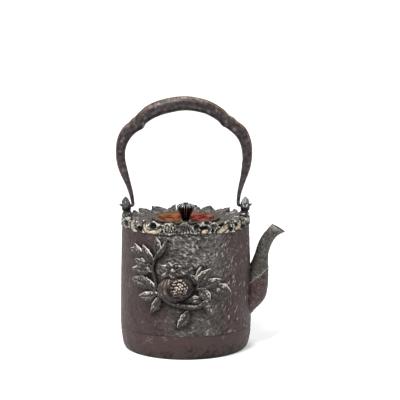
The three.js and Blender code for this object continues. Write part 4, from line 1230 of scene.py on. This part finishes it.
# %% [markdown]
# The lid is a shallow dish of red bronze, spun with fine rings, with a ring flange below that keeps it
# in the mouth. Only the upper surfaces show, but the dish has its true thickness.

# %% The lid and its flange
lid_dish = 4.9
lid_sheet = 1.9
flange_sheet = 1.6


def lid_surface(radius):
    return lid_top - lid_dish + lid_dish * (radius / (lid_radius - 2)) ** 2.2


def revolve(name, profile, sides, finish, body, slot, node, ripple=0.0, seed=0):
    """A closed ring from a closed outline of (radius, height) pairs."""
    profile = np.asarray(profile, float)
    angles = np.linspace(-math.pi, math.pi, sides, endpoint=False)
    points = polar(angles[None, :], profile[:, :1], profile[:, 1:2])
    rough = lumps(points, 3, 3, seed)
    points[..., 2] -= ripple * (rough + 1)
    piece = skin(name, points, {"depth": 0.55 + 0.3 * rough}, closed=True)
    return dress(piece, finish, body, slot, node)


def make_lid():
    hole = 2.1
    flat = -flange_low[0] - flange_sheet - gap
    inner = np.linspace(lid_radius - 2, hole, 96)
    groove = 0.16 * np.abs(np.sin(inner * 1.35)) ** 8
    groove = groove + 0.12 * bell(inner - 24, 0.5) + 0.12 * bell(inner - 13, 0.5)
    top = [(r, lid_surface(r) - g) for r, g in zip(inner, groove)]
    under = [(r, min(shoulder - gap, lid_surface(r) - lid_sheet)) for r in np.linspace(hole, flat, 16)]
    lip_round = [(lid_radius - 0.6 + 0.6 * math.cos(a), lid_top - 0.6 + 0.6 * math.sin(a))
                 for a in np.linspace(0, math.pi / 2, 6)]
    outline = [(lid_radius, shoulder + 0.05), (lid_radius, shoulder + 0.8)] + lip_round
    outline += [(lid_radius - 1.2, lid_top - 0.02)] + top + under + [(flat, shoulder + 0.05)]
    revolve("lid_plate_face", outline, 256, lid_finish, "lid", "lid_bronze", "lid_plate", 0.03, 20)


def make_flange():
    outer, inside = flange_high[0], flange_high[0] - flange_sheet
    low, high = flange_low[2], flange_high[2]
    outline = [(outer, low), (outer, high), (inside, high), (inside, low), (outer - 0.2, low)]
    outline = straight(outline, 24)
    revolve("lid_flange_face", outline, 160, lid_finish, "lid", "lid_bronze", "lid_flange")


make_lid()
make_flange()

# %% [markdown]
# The knob is a gourd-like bud: six full lobes, drawn tight towards a small foot, with two thin ribs in
# each valley and a little finial on top. The ribs, the tops of the lobes and the finial are painted
# bright as highlights. It sits on a washer cut as petals.

# %% The knob
knob_low, knob_high = box_mm("knob")
knob_foot, knob_top = knob_low[2], knob_high[2]
knob_radius = knob_high[0]
knob_outline = [
    (0.36, 0.0), (0.40, 0.06), (0.50, 0.18), (0.62, 0.32), (0.78, 0.47), (0.92, 0.60), (1.0, 0.71),
    (0.985, 0.79), (0.88, 0.855), (0.66, 0.895), (0.42, 0.91), (0.25, 0.925), (0.24, 0.945),
    (0.285, 0.965), (0.2, 0.99), (0.06, 1.0),
]
knob_lobes = 6
flute_depth = 0.26


def make_knob():
    shape = through(knob_outline, 110)
    around = np.linspace(0, 2 * math.pi, 320, endpoint=False)
    wave = np.sin(around * knob_lobes / 2)
    lobe = np.abs(wave) ** 0.55
    rib = bell(np.abs(wave) - 0.36, 0.13)
    tall = shape[:, 1:2]
    flute = flute_depth * step_up(tall, 0.02, 0.3) * (1 - step_up(tall, 0.86, 0.91))
    size = 1 - flute * (1 - lobe)[None, :] + 0.62 * flute * rib[None, :]
    radius = shape[:, :1] * knob_radius * size
    z = knob_foot + tall * (knob_top - knob_foot) + 0 * radius
    points = polar(around[None, :], radius, z)
    # Painted highlights: the tops of the lobes, the two ribs in each valley and the finial are painted
    # bright.
    shade = 0.2 + 0.5 * lobe[None, :] ** 3 * step_up(tall, 0.6, 0.8)
    shade = shade + 0.75 * rib[None, :] * (flute / flute_depth)
    return skin("knob_face", points, {"depth": shade + 0.4 * step_up(tall, 0.93, 0.97)})


dress(make_knob(), knob_finish, "lid", "knob_bronze", "knob")


# %% The washers and the rivet
def make_petal_washer():
    low, high = box_mm("knob_washer")
    around = np.linspace(0, 2 * math.pi, 144, endpoint=False)
    petal = 1 - 0.07 * (1 - np.abs(np.cos(around * 6)))
    lower = [(0.38, low[2]), (0.97, low[2]), (1.0, low[2] + 0.08)]
    outline = lower + [(0.99, high[2] - 0.12), (0.94, high[2]), (0.38, high[2])]
    rows = [polar(around, high[0] * share * (petal if share > 0.5 else 1), z) for share, z in outline]
    return skin("knob_washer_face", rows, {"depth": np.full((len(outline), 144), 0.6)}, closed=True)


dress(make_petal_washer(), knob_finish, "lid", "knob_bronze", "knob_washer")
for node in ("knob_inner_washer", "knob_rivet"):
    solid = frame["nodes"][node]
    solid.data.materials.clear()
    solid.data.materials.append(knob_finish.material)
print("hidden knob fixings keep the frame's own solids")

# %% [markdown]
# The relief hangs on the wall's face, so its places are drawn as on a flat sheet: along the wall from
# the front towards the spout, up from the middle of the fruit, and off the wall's face.

# %% Places on the wall
relief_height = shoulder - 53.8


def on_wall(along, up, lift):
    z = relief_height + np.asarray(up, float)
    return polar(np.asarray(along, float) / body_radius, face_radius(z) + lift, z)


def keep_off(points, inset):
    """Pushes points that lie deeper than the wall's face less the inset back to that depth."""
    radius = np.hypot(points[..., 0], points[..., 1])
    least = face_radius(points[..., 2]) - inset
    scale = np.maximum(radius, least) / np.maximum(radius, 1e-6)
    moved = points.copy()
    moved[..., 0] *= scale
    moved[..., 1] *= scale
    return moved


print("the fruit's middle is at height", round(relief_height, 1))

# %% [markdown]
# A leaf is two soft cushions either side of a sunk midrib, with side veins sunk across them and a
# waved margin. It is a skin of rings from base to tip, so it has a true underside and a dark undercut; the
# underside is also painted dark as shade.
# It is given by its base and tip, its width, how far it bends aside and how far its base, middle and
# tip stand off the wall.

# %% Leaves
leaf_rows = 44
leaf_ring = 44
leaf_spread = 1.22


def leaf_rows_of(base, tip, width, bend=0.0, lift=(1.1, 3.2, 2.6), thick=1.9, seed=0):
    base, tip = np.array(base, float), np.array(tip, float)
    span = tip - base
    length = np.linalg.norm(span)
    side = np.array([-span[1], span[0]]) / length
    t = np.linspace(0, 1, leaf_rows)
    swell = np.sin(math.pi * np.clip(t, 0.03, 0.985) ** 0.85) ** 0.8
    ring = np.linspace(0, 2 * math.pi, leaf_ring, endpoint=False)
    s = np.cos(ring)[None, :]
    top = (np.sin(ring) >= -1e-9)[None, :]
    wave = 1 + 0.08 * np.sin(t * length * 1.1 + seed)
    half = (leaf_spread * width / 2 * swell * wave + 0.25)[:, None]
    body = (thick * (0.35 + 0.65 * swell) / 2)[:, None]
    round_edge = np.sqrt(np.clip(1 - s ** 2, 0, 1))
    cushion = 1.15 * round_edge ** 0.7 - 0.95 * bell(s, 0.15)
    grooves = (0.5 + 0.5 * np.cos(2 * math.pi * ((t * length / 2.4)[:, None] - 0.8 * np.abs(s)))) ** 4
    veins = -0.12 * grooves * (1 - s ** 6) * step_up(swell, 0.2, 0.6)[:, None]
    high = np.where(top, body * cushion + veins, -body * round_edge - body * 0.25)
    twist = 0.5 * np.sin(t * length * 0.6 + 2 * seed)[:, None] * s ** 3
    roll = (-1.5 * side[1] * s + twist) * swell[:, None]
    off = bend * np.sin(math.pi * t)
    up = lift[0] * (1 - t) ** 2 + 2 * lift[1] * t * (1 - t) + lift[2] * t ** 2
    across = off[:, None] + s * half
    along = base[0] + span[0] * t[:, None] + side[0] * across
    rise = base[1] + span[1] * t[:, None] + side[1] * across
    points = on_wall(along, rise, up[:, None] + high + roll)
    rough = lumps(points, 1.6, 2, 21 + seed)
    # Painted light from above: each leaf's upper half and upper margin are painted lighter and the lower
    # ones darker, the margins carry a painted highlight, and the underside is painted dark as shade.
    painted_light_side = s * np.sign(side[1])
    edge = bell(np.abs(s) - 0.86, 0.10) * (0.3 + 0.35 * painted_light_side)
    tone = 0.42 * cushion + edge + 0.7 * veins + 0.12 * painted_light_side + 0.15 * step_up(t, 0.1, 0.6)[:, None]
    shade = np.where(top, tone + 0.36 * rough, -0.1)
    return keep_off(points, 0.4), {"depth": shade}


def stem_line(points, from_radius, to_radius, count=26):
    line = through(points, count)
    placed = on_wall(line[:, 0], line[:, 1], line[:, 2])
    radius = np.linspace(from_radius, to_radius, count)
    return np.column_stack([placed, radius])


print("a leaf has", leaf_rows * leaf_ring, "points")

# %% The sprays of leaves
sprays = {
    "spray_lower_left": {
        "stems": [
            ([(-22.5, -8.8, 2), (-26, -5.6, 2.2), (-32.5, -0.1, 2)], 1.7, 0.9),
            ([(-24, -7.1, 1.8), (-28, -6, 1.8)], 1.1, 0.8),
        ],
        "leaves": [
            ((-31.8, -0.6), (-53, 5.8), 9.6, -1.6, (1.2, 4, 4)),
            ((-27.8, -4), (-38.4, 8.4), 4.8, -0.6, (1.6, 3.4, 2.6)),
            ((-27, -6.2), (-44, -9), 7.4, 1, (1.2, 3.8, 4)),
            ((-23.4, -8), (-32.2, -23.4), 6.8, 1, (1.6, 3, 2.4)),
        ],
    },
    "spray_upper_left": {
        "stems": [
            ([(-26.8, -1.6, 2), (-28.2, 7.8, 2.2), (-31, 16.9, 2), (-29.2, 24.4, 1.8), (-27, 31.9, 1.6)],
             1.6, 1.0),
            ([(-30.9, 16.4, 2), (-35.6, 22.4, 2), (-41, 28.2, 1.8)], 1.2, 0.8),
            ([(-28.8, 10.9, 2), (-31.5, 13.7, 2), (-35.5, 14.6, 1.8)], 1.1, 0.7),
            ([(-33.2, 19.4, 2), (-37, 20.4, 2)], 0.9, 0.6),
        ],
        "leaves": [
            ((-30.2, 21.9), (-41.3, 38.2), 7, 1),
            ((-27.1, 30.4), (-28, 46.6), 7.4, -0.6, (1.2, 2.4, 1.2)),
            ((-28, 26.9), (-17, 44), 4.2, -1.2, (1.4, 3.4, 3)),
            ((-40.4, 27.6), (-57.5, 33.2), 6.6, -0.8),
            ((-39.6, 26.8), (-52, 38.4), 4.6, 0.8),
            ((-36, 20.2), (-51, 23.4), 6.2, -0.8, (1.2, 3.4, 3.6)),
            ((-33.5, 14.6), (-53, 15), 8, -0.8, (1.2, 4, 4.2)),
        ],
    },
    "spray_right": {
        "stems": [
            ([(9.2, -0.4, 2), (17.7, -0.4, 2.4), (24, 0.6, 2.4), (30, 0, 2)], 1.6, 1.0),
            ([(10, 0, 2.2), (11.4, 4.9, 2)], 1.3, 0.9),
        ],
        "leaves": [
            ((10.8, 2.4), (22.8, 18), 8, 1.4, (1.4, 4, 3.4)),
            ((10.4, 4.8), (14.5, 20.4), 4.4, 0.8, (1, 1.8, 1)),
            ((13.4, 0.4), (33, 7.4), 7, 0.8, (1.6, 3.8, 3.6)),
            ((26, 0.4), (43, -7), 9, 1, (1.6, 3.8, 4.2)),
            ((12, -0.8), (20.2, -11.2), 7.8, 1, (2, 4.6, 5.8)),
            ((21, -0.4), (31, -10.8), 8.6, 1.2, (1.8, 4, 3.8)),
            ((11, 4), (3.6, 13.4), 4, -0.6, (1.4, 3, 3)),
        ],
    },
    "branch_leaf_inner": {
        "stems": [],
        "leaves": [((13.6, -10.4), (2.4, -9.8), 5.6, -0.8, (3.6, 4.6, 3.6))],
    },
    "branch_leaf_hanging": {
        "stems": [],
        "leaves": [((2.6, -20.4), (-7.4, -35.8), 7.2, 1, (1.2, 3, 2))],
    },
}


def joined(name, pieces):
    """One piece from several plain meshes that lie in place."""
    shape = bmesh.new()
    for piece in pieces:
        shape.from_mesh(piece.data)
        bpy.data.objects.remove(piece)
    mesh = bpy.data.meshes.new(name)
    shape.to_mesh(mesh)
    shape.free()
    mesh.shade_smooth()
    return in_scene(name, mesh)


def bark(name, lines, lump_depth=0.25, tone=0.42):
    piece = swept(name, lines, relief_finish, 20, 1.0, 2.2, lump_depth)
    store(piece, "depth", tone + 0.45 * lumps(vertices_mm(piece), 1.8, 3, 22))
    return paint_top_light(piece, 0.35)


for name, spray in sprays.items():
    leaves = [leaf_rows_of(*one, seed=number) for number, one in enumerate(spray["leaves"])]
    parts = [paint_top_light(skins(name + "_leaves", leaves), 0.25)]
    if spray["stems"]:
        parts.append(bark(name + "_stems", [stem_line(*one) for one in spray["stems"]], 0.12))
    dress(joined(name + "_face", parts), relief_finish, "kettle", "relief_iron", name)

# %% [markdown]
# One thick twig carries the fruit. It has bark, and below the right spray its end was cut with a saw,
# so the stub shows a flat face.

# %% The branch
branch_points = [
    (-20.5, -9.4, 1.4), (-12.5, -13.2, 2.4), (-3.5, -15.4, 3), (5.5, -16.7, 3.2), (13.5, -15, 3),
    (19, -10.4, 2.6),
]
stub_points = [(16.2, -11.2, 3.4), (18.2, -16.6, 5.4), (20.6, -23, 6.8)]
twigs = [stem_line(branch_points, 2.0, 2.5, 60), stem_line(stub_points, 3.1, 3.5, 24)]
branch = bark("relief_branch_face", twigs, tone=0.5)
dress(branch, relief_finish, "kettle", "relief_iron", "relief_branch")

# %% [markdown]
# The ripe fruit has split. Its skin is a ball with soft ribs and a rolled lip round the opening, and
# the seeds stand in rows in the hollow. Geometry Nodes scatter one seed over the bed at an even
# spacing and turn each to stand out of it.

# %% The fruit's skin
fruit = {"along": -9.2, "up": 0.0, "half": (16.6, 11.0, 12.3), "stand": 2.3, "tilt": -12}
seed_bed = {"along": -4.9, "up": 1.7, "half": (9.2, 5.2, 9.0), "stand": 7.9, "tilt": -14}


def ball(rows, around):
    """Unit ball with its poles above and below, as rows of points."""
    rise = np.linspace(-math.pi / 2 + 0.02, math.pi / 2 - 0.02, rows)[:, None]
    turn = np.linspace(0, 2 * math.pi, around, endpoint=False)[None, :]
    x, y = np.cos(rise) * np.sin(turn), -np.cos(rise) * np.cos(turn)
    return np.stack([x, y, np.sin(rise) + 0 * turn], axis=-1)


def placed_ball(unit, along, up, half, stand, tilt):
    """A ball stretched, tilted in its own plane and set on the wall's face."""
    x, y, z = (unit[..., k] * half[k] for k in range(3))
    angle = math.radians(tilt)
    tilted_x = x * math.cos(angle) + z * math.sin(angle)
    tilted_z = z * math.cos(angle) - x * math.sin(angle)
    height = relief_height + up
    y = y - (float(face_radius(height)) + stand)
    turn = along / body_radius
    placed_x = tilted_x * math.cos(turn) - y * math.sin(turn)
    placed_y = tilted_x * math.sin(turn) + y * math.cos(turn)
    return np.stack([placed_x, placed_y, tilted_z + height], axis=-1)


def make_fruit():
    unit = ball(150, 200)
    surface = placed_ball(unit, **fruit)
    along = np.arctan2(surface[..., 0], -surface[..., 1]) * body_radius
    rise = surface[..., 2] - relief_height
    du, dv = along - seed_bed["along"], rise - seed_bed["up"]
    angle = math.radians(seed_bed["tilt"])
    across = (du * math.cos(angle) - dv * math.sin(angle)) / seed_bed["half"][0]
    tall = (du * math.sin(angle) + dv * math.cos(angle)) / seed_bed["half"][2]
    front = unit[..., 1] < 0
    far = np.hypot(across, tall)
    hollow = (1 - step_up(far, 0.84, 1.04)) * front
    ditch = bell(far - 1.0, 0.09) * front
    meridian = np.arctan2(unit[..., 0] + 0.12 * unit[..., 2], -unit[..., 1])
    left = step_up(-du, 3.0, 8.0) * front
    ribs = left * (0.42 * np.abs(np.sin(meridian * 9)) - 0.2)
    dimple = bell(np.hypot(along + 10.6, rise - 13.5), 3.5) * front
    rough = lumps(surface, 2.5, 3, 24)
    swell = 0.35 * lumps(surface, 9, 2, 25) + ribs + 0.12 * rough
    swell = swell - 1.2 * hollow - 0.2 * ditch - 1.0 * dimple
    middle = placed_ball(np.zeros((1, 1, 3)), **fruit)
    push = surface - middle
    push /= np.linalg.norm(push, axis=-1, keepdims=True)
    # The left ribs are painted lighter as painted highlights, and the hollow and the ditch round the seeds
    # darker as painted shade.
    shade = 0.4 + 1.3 * ribs + 0.35 * rough - 0.5 * hollow - 0.3 * ditch
    points = keep_off(surface + push * (swell - 0.3)[..., None], 0.6)
    return paint_top_light(skin("fruit_face", points, {"depth": shade}), 0.25)


dress(make_fruit(), fruit_finish, "kettle", "relief_iron", "fruit")


# %% A tree that scatters seeds
class Scatter(Grower):
    """One seed at each point of a bed, standing on it, with its size varied by a fixed seed."""

    def vectors(self, label):
        settings = {"data_type": "FLOAT_VECTOR"}
        return self.add("GeometryNodeInputNamedAttribute", settings, {"Name": label})

    def build(self, wires):
        given = {"Object": wires["kernel"]}
        seed = self.add("GeometryNodeObjectInfo", {"transform_space": "ORIGINAL"}, given, "Geometry")
        facing = {"Vector": self.vectors("facing")}
        upright = self.add("FunctionNodeAlignRotationToVector", {"axis": "Z"}, facing)
        spin = {"Rotation": upright, "Rotate By": (0.0, 0.0, math.radians(28))}
        turned = self.add("FunctionNodeRotateRotation", {"rotation_space": "LOCAL"}, spin)
        spread = {2: 0.82, 3: 1.12, "Seed": wires["random"]}
        random = self.add("FunctionNodeRandomValue", {"data_type": "FLOAT"}, spread, 1)
        stretch = {0: self.vectors("size"), "Scale": random}
        size = self.add("ShaderNodeVectorMath", {"operation": "SCALE"}, stretch)
        placed = {"Points": wires["From"], "Instance": seed, "Rotation": turned, "Scale": size}
        return self.add("GeometryNodeInstanceOnPoints", None, placed)


scatter_tree = Scatter("seed scatter", kernel="Object", random="Int", Finish="Material")
print("scatter tree has", len(scatter_tree.nodes), "nodes")


# %% The seeds and their bed
def seed_places():
    """Rows of seeds across the opening, each row shifted by half a seed: unit ball places and sizes."""
    places = []
    for row in range(-3, 4):
        for number in range(-4, 5):
            tall = row * 0.27 + 0.045 * math.cos(5 * number + 2 * row)
            across = (number + 0.5 * (row % 2)) * 0.26 + 0.05 * math.sin(7 * row + 3 * number)
            if math.hypot(across, tall) < 0.92:
                places.append((across, tall))
    return places


def shrunk_bed(share):
    return {**seed_bed, "half": tuple(h * share for h in seed_bed["half"])}


def make_seeds():
    places = seed_places()
    unit = np.array([[(a, -math.sqrt(max(0.02, 1 - a * a - t * t)), t) for a, t in places]])
    inner = shrunk_bed(0.9)
    spots = placed_ball(unit, **inner)[0]
    middle = placed_ball(np.zeros((1, 1, 3)), **inner)[0, 0]
    facing = spots - middle
    facing /= np.linalg.norm(facing, axis=1, keepdims=True)
    beds = bpy.data.meshes.new("seed spots")
    beds.from_pydata((spots * MM).tolist(), [], [])
    keep(beds, "facing", facing, "FLOAT_VECTOR", "vector")
    sizes = [(1.0, 1.1, 0.9) if a > -0.4 else (0.66, 2.1, 1.05) for a, _ in places]
    keep(beds, "size", sizes, "FLOAT_VECTOR", "vector")
    kernel = ball(9, 12) * np.array([1.25, 1.25, 1.3])
    kernel[..., 2] += 0.35
    # Each seed is painted dark at its root and light at its tip, as painted shade and painted highlight.
    one = skin("kernel", kernel, {"depth": 0.3 + 0.32 * kernel[..., 2]})
    grown = scatter_tree.grow(beds, kernel=one, random=5, Finish=seed_finish.material)
    bpy.data.objects.remove(one)
    kernels = in_scene("kernels", grown)
    bed_rows = placed_ball(ball(40, 60), **shrunk_bed(0.86))
    # The bed between the seeds is painted dark as shade.
    bed = skin("bed", keep_off(bed_rows, 0.6), {"depth": np.full((40, 60), 0.1)})
    return paint_top_light(joined("fruit_seeds_face", [kernels, bed]), 0.2)


dress(make_seeds(), seed_finish, "kettle", "relief_iron", "fruit_seeds")

# %% [markdown]
# On top of the fruit stands its calyx, a short cup that opens into seven pointed sepals. Each sepal is
# a small thick leaf that leans out from the cup, given by its direction, its reach and how far its tip
# stands off the wall.

# %% The calyx
calyx = (-10.8, 18.2)
sepals = [
    (57, 8, 8), (340, 11.5, 6), (118, 8, 6.5),
    (165, 11, 5.5), (212, 11, 7), (275, 7, 9.5),
    (20, 8.5, 6),
]


def make_calyx():
    leaves = []
    for number, (turn, reach, out) in enumerate(sepals):
        c, s = math.cos(math.radians(turn)), math.sin(math.radians(turn))
        leaves.append(leaf_rows_of(
            (calyx[0] + c, calyx[1] + s), (calyx[0] + c * reach, calyx[1] + s * reach),
            3.8, 0.7 * (-1) ** number, (6.2, 7.6, out), 2.0, number))
    cup = stem_line([(calyx[0] + 0.6, calyx[1] - 7, 5), (calyx[0], calyx[1], 6.6)], 4.2, 3.3, 20)
    heart = placed_ball(ball(20, 24), calyx[0], calyx[1], (1.6, 2.0, 1.6), 7.6, 0)
    sepal_skins = paint_top_light(skins("sepals", leaves), 0.25)
    cup_skin = bark("cup", [cup], 0.2)
    heart_skin = skin("heart", heart, {"depth": np.full((20, 24), 0.9)})
    return joined("fruit_calyx_face", [sepal_skins, cup_skin, heart_skin])


dress(make_calyx(), relief_finish, "kettle", "relief_iron", "fruit_calyx")

# %% [markdown]
# A painted shadow darkens the wall round the relief, most of all just below it: the wall's stored
# depth is lowered there.

# %% Painted shadow round the relief
relief_pieces = [name + "_face" for name in (*sprays, "relief_branch", "fruit", "fruit_calyx")]


def paint_shadow_round(piece, names, below, reach, amount):
    near_points = np.concatenate([vertices_mm(bpy.data.objects[name]) for name in names])
    tree = KDTree(len(near_points))
    for number, point in enumerate(near_points):
        tree.insert(point, number)
    tree.balance()
    # Painted shadow: the wall is darkened where relief lies close above it.
    depth = stored(piece, "depth")
    for number, point in enumerate(vertices_mm(piece)):
        if point[1] < -20:
            far = tree.find(point + [0, 0, below])[2]
            depth[number] -= amount * math.exp(-(far / reach) ** 2)
    store(piece, "depth", depth)
    print(piece.name, "darkened round", len(names), "pieces")


paint_shadow_round(wall, relief_pieces, 1.4, 2.4, 0.75)

# %% [markdown]
# The kettle stands on a wide white table that runs to the horizon, in soft light from a large panel
# above and in front. Only rays that the camera, gloss or glass send out see pure white, so the room
# looks white without more light falling on the iron, and the table keeps the kettle's shadow.

# %% The table and the white room
def plain_surface(name, corners):
    mesh = bpy.data.meshes.new(name)
    mesh.from_pydata(corners, [], [(0, 1, 2, 3)])
    surface = in_scene(name, mesh)
    return surface


def seen_share(tree):
    """1 for rays from the camera and for those that gloss or glass send on."""
    path = tree.nodes.new("ShaderNodeLightPath")
    share = Wire(tree, path.outputs["Is Camera Ray"])
    share = share.combine("MAXIMUM", share, Wire(tree, path.outputs["Is Glossy Ray"]))
    return share.combine("MAXIMUM", share, Wire(tree, path.outputs["Is Transmission Ray"]))


def table_finish():
    finish = Finish("white table", Base_Color=(0.8, 0.8, 0.8, 1), Roughness=0.9, Specular_IOR_Level=0.0)
    far = finish.add("ShaderNodeVectorMath", {"operation": "LENGTH"}, {0: finish.place()}, "Value")
    level = finish.between(far, 0.25, 1.6) * 0.7 + 0.36
    light = {"Color": (1, 1, 1, 1), "Strength": seen_share(finish) * level}
    glow = finish.add("ShaderNodeEmission", None, light, "Emission")
    plain = Wire(finish, finish.shader.outputs["BSDF"])
    both = finish.add("ShaderNodeAddShader", None, {0: plain, 1: glow})
    finish.links.new(both.socket, finish.nodes["Material Output"].inputs["Surface"])
    return finish


far = 60.0
near = -3.0
table = plain_surface("table", [(-far, near, 0), (far, near, 0), (far, far, 0), (-far, far, 0)])
table.data.materials.append(table_finish().material)

world = bpy.data.worlds.new("room")
bpy.context.scene.world = world
world.use_nodes = True
room = Tree(world.node_tree.nodes, world.node_tree.links)
background = world.node_tree.nodes["Background"]
background.inputs["Color"].default_value = (1, 1, 1, 1)
room_light = 0.3
strength = seen_share(room) * (1 - room_light) + room_light
room.links.new(strength.socket, background.inputs["Strength"])
print("room light", room_light)


# %% The lamps
def panel(name, place, aim, size, watts):
    lamp = bpy.data.lights.new(name, "AREA")
    lamp.shape = "RECTANGLE"
    lamp.size, lamp.size_y = size
    lamp.energy = watts
    holder = in_scene(name, lamp)
    holder.location = place
    holder.rotation_euler = (Vector(aim) - Vector(place)).to_track_quat("-Z", "Y").to_euler()


panel("key panel", (-0.3, -0.55, 1.2), (0, 0, 0.1), (0.5, 0.35), 22)
panel("side panel", (0.9, -0.5, 0.5), (0, 0, 0.1), (0.25, 0.6), 1.2)
panel("top strip", (0.1, 0.35, 1.1), (0, 0, 0.12), (0.8, 0.25), 6)

# %% [markdown]
# The photograph was taken from well in front with a long lens, a little above the rim, with the body
# left of the middle of the frame.

# %% The camera
lens = bpy.data.cameras.new("camera")
lens.lens = 121.37
lens.sensor_width = 36
camera = in_scene("camera", lens)
camera_place = Vector((0, -1.256, 0.334))
camera_aim = Vector((0.01353, 0, 0.13938))
camera.location = camera_place
camera.rotation_euler = (camera_aim - camera_place).to_track_quat("-Z", "Y").to_euler()
bpy.context.scene.camera = camera
bpy.context.scene.view_settings.view_transform = "Standard"
print("camera looks down", round(math.degrees(math.asin((camera_place - camera_aim).normalized().z)), 1))

# %% [markdown]
# Last, the view layer is brought up to date.

# %% The last update
bpy.context.view_layer.update()
